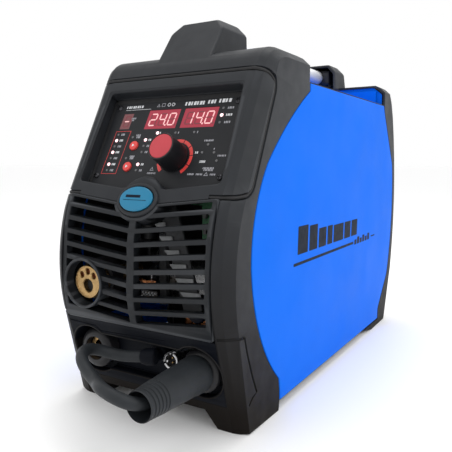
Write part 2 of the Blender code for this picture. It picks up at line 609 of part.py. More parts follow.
def front_grille():
    grille = add_mesh("front_grille", front_block(GRILLE_HALF_W, *GRILLE_Z, GRILLE_DEPTH), PLASTIC)
    first = 0.0935
    gaps = []
    for i in range(SLAT_COUNT + 1):
        low = first + SLAT_PITCH * i
        high = min(low + SLAT_PITCH - SLAT_HEIGHT, GRILLE_Z[1] - 0.0135)
        if high - low > 0.002:
            gaps += [slat_gap(side, low, high, BAR_HALF_W, 0.0870) for side in (-1, 1)]
    openings = merged("grille_openings", gaps)
    ring = cylinder("euro_ring", EURO_RING, -0.06, 0.12, (EURO_X, 0, EURO_Z), (0, 1, 0))
    cut(openings, ring)
    euro_hole = cylinder("euro_hole", EURO_RING - 0.0022, -0.06, 0.12, (EURO_X, 0, EURO_Z), (0, 1, 0))
    boss_room = prism("boss_room", badge_outline(0.0045 + GAP), -0.03, 0.05, "XY", None, PANEL)
    return cut(grille, openings, euro_hole, boss_room)


def pocket_outline():
    """Band with a round bay at each end, in the XZ plane."""
    right = [(SOCKET_X + POCKET_RADIUS * cos(a), SOCKET_Z + POCKET_RADIUS * sin(a))
             for a in (radians(-130 + 20 * i) for i in range(14))]
    left = [(-x, z) for x, z in reversed(right)]
    return right + left


def connector_panel():
    """Lower front moulding: a pocket with the sockets in its floor."""
    low, high = CONNECTOR_Z
    half = OPENING_HALF_W - GAP
    panel = add_mesh("connector_panel", front_block(half, low, high, 0.0200), PLASTIC)
    pocket = prism("socket_pocket", pocket_outline(), -0.05, POCKET_FLOOR, "XZ")
    hollow_back = box("panel_back", (-half + WALL, POCKET_FLOOR + WALL, low - 0.01),
                      (half - WALL, 0.08, high + 0.01))
    bores = [cylinder(f"panel_bore_{i}", radius, -0.05, 0.10, (x, 0, z), (0, 1, 0))
             for i, (x, z, radius) in enumerate(((-SOCKET_X, SOCKET_Z, 0.0165), (SOCKET_X, SOCKET_Z, 0.0165),
                                                 (PIN_SOCKET[0], PIN_SOCKET[1], 0.0078)))]
    gland_bore = cylinder("gland_bore", 0.0083, -0.05, 0.10, (0.0140, 0, 0.0590), (0, 1, 0))
    return cut(panel, pocket, hollow_back, *bores, gland_bore)


def euro_socket():
    """Brass torch socket: threaded nose, one large and three small holes, gas and wire bore."""
    profile = ((0.0, 0.0020), (0.0164, 0.0020), (0.0176, 0.0008), (0.0176, -0.0140), (0.0160, -0.0140),
               (0.0160, -0.0330), (0.0095, -0.0330), (0.0095, -0.0770), (0.0, -0.0770))
    socket = turned("euro_socket", profile, (EURO_X, 0, EURO_Z), (0, -1, 0), BRASS)
    wire_bore = cylinder("euro_wire_bore", 0.0012, -0.1, 0.1, (EURO_X, 0, EURO_Z), (0, 1, 0), steps=10)
    torch_bore = cylinder("euro_torch_bore", 0.0052, -0.05, 0.028, (EURO_X, 0, EURO_Z), (0, 1, 0), steps=16)
    pins = [cylinder(f"euro_pin_hole_{i}", 0.0021, -0.05, 0.016,
                     (EURO_X + 0.0108 * cos(a), 0, EURO_Z + 0.0108 * sin(a)), (0, 1, 0), steps=10)
            for i, a in enumerate(radians(d) for d in (40, 90, 140))]
    return cut(socket, wire_bore, torch_bore, *pins)


def euro_insulator():
    """Black washer that holds the brass socket in the ring of the grille."""
    profile = ((0.0179, 0.0020), (EURO_RING - 0.0025, 0.0020),
               (EURO_RING - 0.0025, -0.0130), (0.0179, -0.0130))
    return turned("euro_insulator", profile, (EURO_X, 0.0055, EURO_Z), (0, -1, 0), BLACK)


def dinse_sockets():
    """Two bayonet power sockets: a black shroud with a brass insert each."""
    for name, x in (("left", -SOCKET_X), ("right", SOCKET_X)):
        place = (x, POCKET_FLOOR - 0.0008, SOCKET_Z)
        shroud = ((0.0125, 0.0160), (SOCKET_RADIUS - 0.0060, 0.0160), (SOCKET_RADIUS, 0.0120),
                  (SOCKET_RADIUS, 0.0005), (0.0150, 0.0005), (0.0150, -0.0190), (0.0090, -0.0190),
                  (0.0090, -0.0100), (0.0125, -0.0100))
        turned(f"{name}_socket_shroud", shroud, place, (0, -1, 0), BLACK)
        insert = ((0.0068, 0.0080), (0.0118, 0.0080), (0.0118, -0.0090), (0.0086, -0.0090),
                  (0.0086, -0.0300), (0.0068, -0.0300))
        turned(f"{name}_socket_insert", insert, place, (0, -1, 0), BRASS)


def two_pin_socket():
    """Small round signal socket with two contact holes."""
    profile = ((0.0, 0.0060), (0.0088, 0.0060), (0.0088, 0.0012), (0.0075, 0.0012), (0.0075, -0.0180),
               (0.0, -0.0180))
    place = (PIN_SOCKET[0], POCKET_FLOOR - 0.0010, PIN_SOCKET[1])
    socket = turned("two_pin_socket", profile, place, (0, -1, 0), STEEL, steps=16)
    well = cylinder("pin_well", 0.0066, 0.0020, 0.02, place, (0, -1, 0), steps=16)
    return cut(socket, well)


def lead_gland():
    """Bush with an elbow boot that turns the polarity lead to the side."""
    place = (0.0140, POCKET_FLOOR - 0.0008, 0.0590)
    profile = ((0.0, 0.0100), (0.0095, 0.0100), (0.0105, 0.0080), (0.0105, 0.0006), (0.0080, 0.0006),
               (0.0080, -0.0120), (0.0, -0.0120))
    gland = turned("lead_gland", profile, place, (0, -1, 0), BLACK, steps=16)
    stub = cylinder("gland_stub", 0.0066, 0.0025, 0.0180, (0.0140, 0, 0.0590), (0, 1, 0), steps=16)
    start, follow = Vector(LEAD_ROUTE[0]), Vector(LEAD_ROUTE[1])
    out = (follow - start).normalized()
    nose = ((0.0, -0.0008), (LEAD_RADIUS + 0.0014, -0.0008), (LEAD_RADIUS + 0.0026, -0.0060),
            (LEAD_RADIUS + 0.0026, -0.0150), (0.0, -0.0150))
    boot = turned("gland_boot", nose, start, out, None, steps=16)
    return join(gland, stub, boot)


def smooth_route(points, steps):
    """Catmull-Rom curve through the points of a route."""
    padded = [points[0]] + list(points) + [points[-1]]
    route = []
    for i in range(len(points) - 1):
        p0, p1, p2, p3 = (Vector(p) for p in padded[i:i + 4])
        for step in range(steps):
            t = step / steps
            route.append(0.5 * (2 * p1 + (p2 - p0) * t + (2 * p0 - 5 * p1 + 4 * p2 - p3) * t * t
                                + (3 * p1 - p0 - 3 * p2 + p3) * t ** 3))
    return route + [Vector(points[-1])]


def polarity_lead():
    route = smooth_route(LEAD_ROUTE, 2)
    curve = bpy.data.curves.new("polarity_lead", "CURVE")
    curve.dimensions, curve.bevel_depth, curve.bevel_resolution = "3D", LEAD_RADIUS, 3
    curve.use_fill_caps = True
    spline = curve.splines.new("POLY")
    spline.points.add(len(route) - 1)
    for point, place in zip(spline.points, route):
        point.co = (*place, 1.0)
    curve.materials.append(RUBBER)
    lead = bpy.data.objects.new("polarity_lead", curve)
    lead.parent = DATUM
    bpy.data.collections["mig_welding_machine"].objects.link(lead)


def polarity_plug():
    """Rubber-booted plug; the lead goes into its wide mouth."""
    x, z = SOCKET_X, SOCKET_Z
    mouth, nose = PLUG_Y
    end = LEAD_ROUTE[-1][1] + 0.0004
    inside = ((0.0, end), (0.0085, end), (0.0095, -0.0600), (0.0124, mouth + 0.0060), (0.0131, mouth))
    outside = ((0.0137, mouth), (0.0141, mouth + 0.0010), (0.0154, -0.0480), (0.0170, -0.0120),
               (0.0181, -0.0026), (0.0181, 0.0104), (0.0118, 0.0104), (0.0118, nose), (0.0, nose))
    plug = turned("polarity_plug", [(r, -y) for r, y in inside + outside], (x, 0, z), (0, -1, 0), RUBBER)
    pin = cylinder("plug_pin", 0.0062, -0.0360, 0.0, (x, 0, z), (0, -1, 0))
    return join(plug, pin)


# ---------------------------------------------------------------- wire feeder and spool
def bulkhead():
    """Wall between the wire compartment and the power electronics."""
    wall = box("bulkhead", (BULKHEAD_X, 0.0930, 0.0160), (BULKHEAD_X + 0.0015, 0.4870, 0.3320), GALVANISED)
    motor_centre, hub_centre = (0, ROLL_Y, EURO_Z - ROLL_RADIUS), (0, SPOOL_Y, SPOOL_Z)
    motor_hole = cylinder("bulkhead_motor_hole", 0.0130, -0.1, 0.1, motor_centre, (1, 0, 0))
    spool_hole = cylinder("bulkhead_spool_hole", 0.0060, -0.1, 0.1, hub_centre, (1, 0, 0), steps=16)
    return cut(wall, motor_hole, spool_hole)


def feeder():
    """Feed plate with its motor behind the bulkhead and the drive roll in front."""
    axis_z = EURO_Z - ROLL_RADIUS
    plate = box("feeder_plate", (BULKHEAD_X - 0.0104, 0.0900, 0.0860), (BULKHEAD_X - 0.0004, 0.1560, 0.1700),
                ALUMINIUM, bevel=0.002)
    axle_hole = cylinder("feeder_axle_hole", 0.0130, -0.1, 0.1, (0, ROLL_Y, axis_z), (1, 0, 0))
    pivot_room = cylinder("arm_pivot_room", 0.0034, -0.1, -0.0330, (0, 0.1480, 0.1520), (1, 0, 0), steps=16)
    cut(plate, axle_hole, pivot_room)
    motor = ((0.0, 0.0850), (0.0240, 0.0850), (0.0260, 0.0820), (0.0260, 0.0035), (0.0125, 0.0035),
             (0.0125, -0.0090), (0.0050, -0.0090), (0.0050, -0.0400), (0.0, -0.0400))
    turned("drive_motor", motor, (BULKHEAD_X, ROLL_Y, axis_z), (1, 0, 0), STEEL)
    roll = ((0.0051, 0.0065), (ROLL_RADIUS, 0.0065), (ROLL_RADIUS, 0.0008), (ROLL_RADIUS - 0.0007, 0.0),
            (ROLL_RADIUS, -0.0008), (ROLL_RADIUS, -0.0065), (0.0051, -0.0065))
    turned("drive_roll", roll, (EURO_X, ROLL_Y, axis_z), (1, 0, 0), STEEL)


def pressure_arm():
    """Arm over the drive roll: pivot pin, pressure roll and screw with its knob."""
    roll_z = EURO_Z + PRESSURE_RADIUS + 0.0004
    arm = box("pressure_arm", (-0.0530, 0.1080, roll_z - 0.0040), (-0.0420, 0.1540, 0.1580), BLACK,
              bevel=0.0015)
    head = box("arm_head", (-0.0760, 0.0935, 0.1535), (-0.0420, 0.1300, 0.1600))
    pin = cylinder("arm_pivot_pin", 0.0030, -0.0480, -0.0334, (0, 0.1480, 0.1520), (1, 0, 0), steps=16)
    axle = cylinder("arm_axle", 0.0030, -0.0750, -0.0440, (0, ROLL_Y, roll_z), (1, 0, 0), steps=16)
    screw_hole = cylinder("arm_screw_hole", 0.0034, 0.10, 0.20, (EURO_X, 0.1005, 0), (0, 0, 1), steps=16)
    cut(join(arm, head, pin, axle), screw_hole)
    roll = ((0.0033, 0.0060), (PRESSURE_RADIUS, 0.0060), (PRESSURE_RADIUS, -0.0060), (0.0033, -0.0060))
    turned("pressure_roll", roll, (EURO_X, ROLL_Y, roll_z), (1, 0, 0), STEEL)
    knob = ((0.0, 0.0380), (0.0080, 0.0380), (0.0095, 0.0360), (0.0095, 0.0040), (0.0030, 0.0040),
            (0.0030, -0.0180), (0.0, -0.0180))
    turned("tension_knob", knob, (EURO_X, 0.1005, 0.1570), (0, 0, 1), BLACK, steps=20)


def wire_inlet_guide():
    profile = ((0.0, 0.0180), (0.0035, 0.0180), (0.0035, 0.0), (0.0070, 0.0), (0.0070, -0.0080),
               (0.0, -0.0080))
    guide = turned("wire_inlet_guide", profile, (EURO_X, 0.1640, EURO_Z), (0, -1, 0), BRASS, steps=20)
    holder = box("guide_holder", (EURO_X - 0.0040, 0.1660, EURO_Z - 0.0030),
                 (BULKHEAD_X - GAP, 0.1700, EURO_Z + 0.0030))
    bore = cylinder("guide_bore", 0.0012, 0.10, 0.20, (EURO_X, 0, EURO_Z), (0, 1, 0), steps=10)
    return cut(join(guide, holder), bore)


def wire_spool():
    """Spool on its hub; its origin is on its axis."""
    place = (EURO_X, SPOOL_Y, SPOOL_Z)
    half = SPOOL_WIDTH / 2
    hub = ((0.0, 0.0340), (0.0180, 0.0340), (0.0240, 0.0310), (0.0240, -0.0300), (0.0055, -0.0300),
           (0.0055, -0.0400), (0.0, -0.0400))
    turned("spool_hub", hub, place, (-1, 0, 0), BLACK)
    flange = half - 0.003
    reel = ((0.0255, half), (SPOOL_RADIUS, half), (SPOOL_RADIUS, flange), (WOUND_RADIUS, flange),
            (WOUND_RADIUS, -flange), (SPOOL_RADIUS, -flange), (SPOOL_RADIUS, -half), (0.0255, -half))
    turned("wire_spool", reel, place, (1, 0, 0), SPOOL, steps=40)


# ---------------------------------------------------------------- power electronics
def electronics():
    box("main_pcb", (-0.0220, 0.1300, 0.2000), (0.1020, 0.4100, 0.2016), BOARD)
    outline = [(-0.0140, 0.2100), (-0.0140, 0.2140)]
    for i in range(9):
        x = -0.0030 + 0.01045 * i
        outline += [(x, 0.2140), (x, 0.2650), (x + 0.00275, 0.2650), (x + 0.00275, 0.2140)]
    outline += [(0.0916, 0.2140), (0.0916, 0.2100)]
    prism("heatsink", outline, 0.1500, 0.3800, "XZ", ALUMINIUM)
    box("transformer", (0.0050, 0.2400, 0.0160), (0.0700, 0.3050, 0.0780), STEEL, bevel=0.003)
    winding = box("output_choke", (-0.0100, 0.0960, 0.0162), (0.0300, 0.1900, 0.0760), COPPER, bevel=0.004)
    window = box("choke_window", (-0.02, 0.1250, 0.0350), (0.04, 0.1600, 0.0560))
    cut(winding, window)


def fan():
    low, high = FAN_Y, FAN_Y + 0.0240
    centre = (FAN_X, 0, FAN_Z)
    frame = box("fan_frame", (FAN_X - 0.060, low, FAN_Z - 0.060), (FAN_X + 0.060, high, FAN_Z + 0.060), BLACK)
    bore = cylinder("fan_bore", FAN_RADIUS + 0.002, low - 0.01, high + 0.01, centre, (0, 1, 0), steps=32)
    hub = cylinder("fan_stator", 0.0180, high - 0.0040, high, centre, (0, 1, 0), steps=16)
    shaft = cylinder("fan_shaft", 0.0020, low + 0.004, high - 0.001, centre, (0, 1, 0), steps=10)
    arms = [box(f"fan_arm_{name}", (FAN_X - half_x, high - 0.0035, FAN_Z - half_z),
                (FAN_X + half_x, high - 0.0005, FAN_Z + half_z))
            for name, half_x, half_z in (("level", 0.058, 0.0025), ("upright", 0.0025, 0.058))]
    join(cut(frame, bore), hub, *arms, shaft)
    rotor = turned("fan_rotor", ((0.0023, -0.0005), (0.0180, -0.0005), (0.0180, -0.0150), (0.0023, -0.0150)),
                   (FAN_X, high - 0.0045, FAN_Z), (0, 1, 0), BLACK, steps=16)
    for i in range(7):
        blade = box_bmesh((-0.0010, 0.0165, -0.0070), (0.0010, FAN_RADIUS - 0.0010, 0.0070))
        angle = 2 * pi * i / 7
        turn = Matrix.Rotation(angle, 4, "Z") @ Matrix.Rotation(radians(38), 4, "Y")
        bmesh.ops.transform(blade, matrix=turn @ Matrix.Diagonal((1, 1, 0.98, 1)), verts=blade.verts)
        bmesh.ops.translate(blade, vec=(0, 0, -0.0080), verts=blade.verts)
        helper = add_mesh(f"fan_blade_{i}", blade, None, parent=rotor)
        join(rotor, helper)


def rear_fittings():
    """Gas valve and inlet, mains gland, power switch with its rocker."""
    box("gas_valve", (-0.0800, 0.4560, 0.2080), (-0.0480, 0.4900, 0.2360), STEEL, bevel=0.002)
    inlet = ((0.0015, 0.0380), (0.0042, 0.0380), (0.0050, 0.0350), (0.0042, 0.0320), (0.0050, 0.0290),
             (0.0042, 0.0260), (0.0050, 0.0230), (0.0042, 0.0200), (0.0042, 0.0100), (0.0088, 0.0100),
             (0.0088, 0.0002), (0.0070, 0.0002), (0.0070, -0.0100), (0.0015, -0.0100))
    turned("gas_inlet", inlet, (-0.0640, 0.5014, 0.2220), (0, 1, 0), BRASS, steps=16)
    gland = ((0.0060, 0.0260), (0.0105, 0.0260), (0.0125, 0.0200), (0.0125, 0.0110), (0.0140, 0.0100),
             (0.0140, 0.0002), (0.0100, 0.0002), (0.0100, -0.0140), (0.0060, -0.0140))
    turned("mains_gland", gland, (0.0460, 0.5014, 0.2680), (0, 1, 0), BLACK, steps=16)
    body = box("power_switch", (-0.0615, 0.4800, 0.2705), (-0.0345, 0.5020, 0.2915), BLACK)
    flange = box("switch_flange", (-0.0640, 0.5014, 0.2680), (-0.0320, 0.5040, 0.2940))
    room = box("switch_room", (-0.0590, 0.4880, 0.2725), (-0.0370, 0.52, 0.2895))
    cut(join(body, flange), room)
    rocker = prism("power_rocker", ((-0.0105, 0.0022), (-0.0098, 0.0040), (0.0, 0.0020), (0.0098, 0.0002),
                                    (0.0105, -0.0018), (0.0040, -0.0090), (-0.0040, -0.0090)),
                   -0.0078, 0.0078, "XY", RED)
    rocker.location = (-0.0480, 0.5015, 0.2810)


def build():
    nearest = min(y for y, z in front_curve())
    farthest = max(y for y, z in rear_curve())
    DATUM.location.y = -(nearest + farthest) / 2
    front_frame()
    control_fascia()
    front_grille()
    connector_panel()
    badge()
    rear_frame()
    rear_panel()
    top_cover()
    base_tray()
    right_side_panel()
    wire_door()
    door_fittings()
    handle()
    control_plate()
    panel_electronics()
    control_knob()
    buttons()
    plate_screws()
    euro_socket()
    euro_insulator()
    dinse_sockets()
    two_pin_socket()
    lead_gland()
    polarity_lead()
    polarity_plug()
    bulkhead()
    feeder()
    pressure_arm()
    wire_inlet_guide()
    wire_spool()
    electronics()
    fan()
    rear_fittings()


build()
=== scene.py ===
"""Portable inverter MIG welding machine: surfaces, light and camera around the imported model.

Sizes are in metres.  Pieces are modelled from the machine's own datum (Y = 0 at the plane
of the front grille, Z = 0 at the lower edge of the side panels) and moved to the row frame.
Pieces on the control panel use u across, v up the leaning panel and w out of it.
"""
from math import atan2, cos, pi, radians, sin

import bmesh
import bpy
from mathutils import Matrix, Vector


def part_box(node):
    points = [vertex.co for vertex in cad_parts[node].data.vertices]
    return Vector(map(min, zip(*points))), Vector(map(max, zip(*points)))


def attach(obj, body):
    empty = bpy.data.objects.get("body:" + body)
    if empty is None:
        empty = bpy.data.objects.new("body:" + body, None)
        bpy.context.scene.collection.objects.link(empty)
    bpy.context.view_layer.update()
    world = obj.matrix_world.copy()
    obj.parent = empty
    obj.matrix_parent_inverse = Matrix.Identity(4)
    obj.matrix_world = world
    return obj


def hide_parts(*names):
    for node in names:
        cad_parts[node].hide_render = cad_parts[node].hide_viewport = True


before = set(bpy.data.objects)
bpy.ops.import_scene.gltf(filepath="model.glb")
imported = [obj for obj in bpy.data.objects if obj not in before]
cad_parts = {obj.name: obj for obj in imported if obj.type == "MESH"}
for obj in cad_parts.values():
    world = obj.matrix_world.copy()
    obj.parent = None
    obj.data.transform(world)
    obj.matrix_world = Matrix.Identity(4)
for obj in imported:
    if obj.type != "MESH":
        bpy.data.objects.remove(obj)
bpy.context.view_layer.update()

# ---------------------------------------------------------------- sizes from the datum
HALF_W = 0.110
FOOT_Z = -0.0095
FRONT_Y, BACK_Y = -0.0062, 0.5474
WALL, SHEET, GAP = 0.003, 0.0012, 0.0004
PANEL_TOP, FRAME_TOP, REAR_TOP = 0.337, 0.366, 0.368
CHAMFER, REAR_CHAMFER = 0.0145, 0.0084
LEAN = radians(27.3)
PLATE_ORIGIN = Vector((0.0, 0.0327, 0.2363))
FASCIA_HEIGHT, FASCIA_LOW_Z, FASCIA_TOP_Z, FASCIA_GROOVE = 0.0121, 0.2187, 0.3405, 0.0029
SLANT, WINDOW_SLANT = 0.10, 0.05
DIGITS = {"0": "abcdef", "1": "bc", "2": "abged", "4": "fgbc", "-": "g"}
KNOB_UV, KNOB_RADIUS, KNOB_HEIGHT = (0.0191, 0.0205), 0.0145, 0.0255
BUTTON_UV, BUTTON_RADIUS = ((-0.0389, 0.0352), (-0.0389, 0.0105)), 0.0053
SCREW_UV = ((-0.076, 0.083), (0.076, 0.083), (-0.078, 0.0), (0.078, 0.0))
GRILLE_Z, GRILLE_HALF_W, GRILLE_PROUD = (0.0885, 0.2185), 0.0925, 0.0016
SLAT_PITCH, SLAT_HEIGHT, SLAT_RISE, SLAT_COUNT = 0.0133, 0.0046, 0.0095, 9
SLAT_RUN = 0.0870
BAR_HALF_W = 0.0042
EURO_X, EURO_Z, EURO_RING = -0.0618, 0.1276, 0.0260
BADGE_V, BADGE_SIZE, BOW_U = -0.0315, (0.0200, 0.0130), 0.0018
SOCKET_X, SOCKET_Z, SOCKET_RADIUS = 0.067, 0.0522, 0.0215
POCKET_RADIUS, POCKET_FLOOR = 0.0265, 0.0280
PIN_SOCKET, GLAND = (0.034, 0.0570), (0.0140, 0.0590)
TUBE_RADIUS, TUBE_Z, TUBE_Y = 0.0105, 0.3860, (0.124, 0.478)
LEAD_RADIUS = 0.0058
LEAD_ROUTE = ((0.0069, 0.0010, 0.0601), (-0.0025, -0.0015, 0.0594), (-0.0122, -0.0032, 0.0584),
              (-0.0222, -0.0064, 0.0592), (-0.0297, -0.0118, 0.0626), (-0.0347, -0.0206, 0.0669),
              (-0.0352, -0.0303, 0.0693), (-0.0317, -0.0405, 0.0694), (-0.0255, -0.0476, 0.0674),
              (-0.0175, -0.0527, 0.0641), (-0.0080, -0.0566, 0.0602), (0.0008, -0.0596, 0.0576),
              (0.0105, -0.0644, 0.0567), (0.0179, -0.0703, 0.0584), (0.0254, -0.0774, 0.0615),
              (0.0345, -0.0823, 0.0623), (0.0445, -0.0846, 0.0612), (0.0549, -0.0831, 0.0581),
              (0.0624, -0.0777, 0.0545), (0.0664, -0.0684, 0.0523), (0.0671, -0.0586, 0.0521),
              (0.0670, -0.0480, 0.0522))
PLUG_Y = (-0.0758, 0.0185)
WINDING_RADIUS = 0.0634
LATCH_ROOM = 0.0450
SHARP_DEGREES = 38.0
CAMERA_PLACE, CAMERA_LENS, CAMERA_SENSOR = (0.351, -0.677386, 0.2605), 44.07, 36.0
CAMERA_DIP, CAMERA_SWING = 6.64, 31.19

TUBE_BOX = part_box("handle_tube")
DATUM = Vector((0.0, TUBE_BOX[0].y - TUBE_Y[0], (TUBE_BOX[0].z + TUBE_BOX[1].z) / 2 - TUBE_Z))
AT_DATUM = Matrix.Translation(DATUM)
AT_PANEL = Matrix.Translation(DATUM + PLATE_ORIGIN) @ Matrix.Rotation(pi / 2 - LEAN, 4, "X")
PANEL_IN_DATUM = Matrix.Translation(PLATE_ORIGIN) @ Matrix.Rotation(pi / 2 - LEAN, 4, "X")
IN_ROW = Matrix.Identity(4)


# ---------------------------------------------------------------- materials
def node_material(name):
    material = bpy.data.materials.new(name)
    material.use_nodes = True
    return material, material.node_tree.nodes, material.node_tree.links


def add_noise(nodes, links, vector, scale, detail=3.0):
    noise = nodes.new("ShaderNodeTexNoise")
    noise.inputs["Scale"].default_value = scale
    noise.inputs["Detail"].default_value = detail
    links.new(vector, noise.inputs["Vector"])
    return noise.outputs["Fac"]


def add_range(nodes, links, value, low, high, start=0.3, end=0.7):
    spread = nodes.new("ShaderNodeMapRange")
    spread.inputs["From Min"].default_value = start
    spread.inputs["From Max"].default_value = end
    spread.inputs["To Min"].default_value = low
    spread.inputs["To Max"].default_value = high
    links.new(value, spread.inputs["Value"])
    return spread.outputs["Result"]


def add_mix(nodes, links, factor, first, second):
    mix = nodes.new("ShaderNodeMix")
    mix.data_type = "RGBA"
    links.new(factor, mix.inputs["Factor"])
    for socket, color in ((mix.inputs["A"], first), (mix.inputs["B"], second)):
        if isinstance(color, tuple):
            socket.default_value = (*color, 1.0)
        else:
            links.new(color, socket)
    return mix.outputs["Result"]


def surface(name, color, roughness, metallic=0.0, mottle=0.12, mottle_scale=40.0, grain_scale=900.0,
            grain=0.12, stretch=(1.0, 1.0, 1.0), rough_swing=0.06, wear=0.0, rounding=0.0, painted_warm_reflection=None,
            specular=0.5):
    """Colour clouds, a fine grain in the bump, uneven gloss, worn edges, soft corners and, where asked, a
    painted warm reflection low down.
    """
    material, nodes, links = node_material(name)
    shader = nodes["Principled BSDF"]
    place = nodes.new("ShaderNodeTexCoord").outputs["Object"]
    mapping = nodes.new("ShaderNodeMapping")
    mapping.inputs["Scale"].default_value = stretch
    links.new(place, mapping.inputs["Vector"])
    vector = mapping.outputs["Vector"]
    clouds = add_range(nodes, links, add_noise(nodes, links, vector, mottle_scale, 5.0), 0.0, 1.0)
    dark = tuple(c * (1 - mottle) for c in color)
    light = tuple(min(1.0, c * (1 + mottle)) for c in color)
    tint = add_mix(nodes, links, clouds, dark, light)
    if wear:
        worn = tuple(min(1.0, c * (1 + wear) + 0.02 * wear) for c in color)
        pointed = nodes.new("ShaderNodeNewGeometry").outputs["Pointiness"]
        tint = add_mix(nodes, links, add_range(nodes, links, pointed, 0.0, 1.0, 0.52, 0.60), tint, worn)
    # Painted reflection: towards the bottom of the object the colour blends into a warm brown and the
    # specular weakens, standing in for a warm floor's reflection.
    if painted_warm_reflection:
        split = nodes.new("ShaderNodeSeparateXYZ")
        links.new(place, split.inputs["Vector"])
        height = add_range(nodes, links, split.outputs["Z"], 1.0, 0.0, 0.02, 0.22)
        tint = add_mix(nodes, links, height, tint, painted_warm_reflection)
        links.new(add_range(nodes, links, height, specular, 0.35 * specular, 0.0, 1.0),
                  shader.inputs["Specular IOR Level"])
    links.new(tint, shader.inputs["Base Color"])
    gloss = add_noise(nodes, links, vector, mottle_scale * 2.3, 4.0)
    links.new(add_range(nodes, links, gloss, roughness - rough_swing, roughness + rough_swing),
              shader.inputs["Roughness"])
    shader.inputs["Metallic"].default_value = metallic
    bump = nodes.new("ShaderNodeBump")
    bump.inputs["Strength"].default_value = grain
    bump.inputs["Distance"].default_value = 0.0004
    links.new(add_noise(nodes, links, vector, grain_scale, 2.0), bump.inputs["Height"])
    if rounding:
        soft = nodes.new("ShaderNodeBevel")
        soft.samples = 4
        soft.inputs["Radius"].default_value = rounding
        links.new(soft.outputs["Normal"], bump.inputs["Normal"])
    links.new(bump.outputs["Normal"], shader.inputs["Normal"])
    shader.inputs["Specular IOR Level"].default_value = specular
    return material


def glowing(name, color, strength, base=(0.02, 0.0, 0.0)):
    material, nodes, links = node_material(name)
    shader = nodes["Principled BSDF"]
    place = nodes.new("ShaderNodeTexCoord").outputs["Object"]
    flicker = add_range(nodes, links, add_noise(nodes, links, place, 700.0), 0.0, 1.0)
    lit = add_mix(nodes, links, flicker, tuple(0.9 * c for c in color), color)
    links.new(lit, shader.inputs["Emission Color"])
    shader.inputs["Emission Strength"].default_value = strength
    shader.inputs["Base Color"].default_value = (*base, 1.0)
    shader.inputs["Roughness"].default_value = 0.25
    return material


# The charcoal plastic carries a painted warm reflection towards the bottom.
PLASTIC = surface("charcoal_plastic", (0.0160, 0.0178, 0.0210), 0.50, mottle=0.10, mottle_scale=28.0,
                  grain_scale=1100.0, grain=0.22, wear=0.5, rounding=0.0011,
                  painted_warm_reflection=(0.0062, 0.0045, 0.0034),
                  specular=0.22)
SLAT_PLASTIC = surface("grille_plastic", (0.0090, 0.0105, 0.0130), 0.46, mottle=0.10, mottle_scale=28.0,
                       grain_scale=1100.0, grain=0.18, wear=1.2, rounding=0.0008, specular=0.22)
SOCKET_PLASTIC = surface("connector_plastic", (0.0022, 0.0030, 0.0056), 0.50, mottle=0.12, grain=0.18,
                         grain_scale=1100.0, wear=0.2, rounding=0.0008, specular=0.06)
BLACK = surface("black_plastic", (0.0060, 0.0060, 0.0075), 0.40, mottle=0.15, grain=0.12, wear=0.6,
                rounding=0.0006, specular=0.30)
PLATE = surface("plate_film", (0.0100, 0.0108, 0.0130), 0.52, mottle=0.06, mottle_scale=15.0, grain=0.10,
                grain_scale=1500.0, specular=0.25)
BLUE = surface("blue_paint", (0.0, 0.135, 0.74), 0.50, mottle=0.03, mottle_scale=9.0, grain=0.03,
               grain_scale=900.0, specular=0.055)
GALVANISED = surface("galvanised_sheet", (0.52, 0.54, 0.56), 0.36, 1.0, mottle=0.10, mottle_scale=70.0,
                     grain=0.08, rough_swing=0.12)
ALUMINIUM = surface("brushed_aluminium", (0.78, 0.79, 0.81), 0.24, 1.0, mottle=0.06, mottle_scale=160.0,
                    grain_scale=1300.0, grain=0.10, stretch=(1.0, 0.06, 1.0), rough_swing=0.06)
# Dark grey: on the air guide this is painted shade between the painted light patches; the feeder plate uses
# it too.
GUIDE = surface("dull_air_guide", (0.070, 0.072, 0.076), 0.60, 0.2, mottle=0.10, mottle_scale=50.0,
                grain=0.06,
                specular=0.3)
SATIN = surface("satin_aluminium", (0.86, 0.87, 0.89), 0.46, 0.45, mottle=0.05, mottle_scale=160.0,
                grain=0.08,
                stretch=(1.0, 0.06, 1.0))
STEEL = surface("machined_steel", (0.44, 0.44, 0.45), 0.32, 1.0, mottle=0.12, mottle_scale=200.0,
                grain=0.10, rough_swing=0.10)
DARK_STEEL = surface("blackened_screws", (0.05, 0.05, 0.055), 0.36, 0.9, mottle=0.2, grain=0.1)
BRASS = surface("brass", (0.36, 0.235, 0.105), 0.30, 1.0, mottle=0.22, mottle_scale=220.0, grain=0.12,
                grain_scale=1800.0, rough_swing=0.08, rounding=0.0003)
COPPER = surface("copper_winding", (0.78, 0.31, 0.13), 0.30, 1.0, mottle=0.16, mottle_scale=300.0,
                 grain=0.1)
RED = surface("red_plastic", (0.42, 0.035, 0.045), 0.40, mottle=0.06, grain=0.10, rounding=0.0005)
CAP_RED = surface("knob_cap_red", (0.44, 0.045, 0.058), 0.46, mottle=0.05, grain=0.12,
                  grain_scale=700.0, specular=0.3)
TURQUOISE = surface("turquoise_badge", (0.006, 0.160, 0.290), 0.36, mottle=0.05, grain=0.05,
                    specular=0.35)
BOARD = surface("circuit_board", (0.02, 0.13, 0.05), 0.42, mottle=0.35, mottle_scale=380.0, grain=0.2,
                grain_scale=500.0)
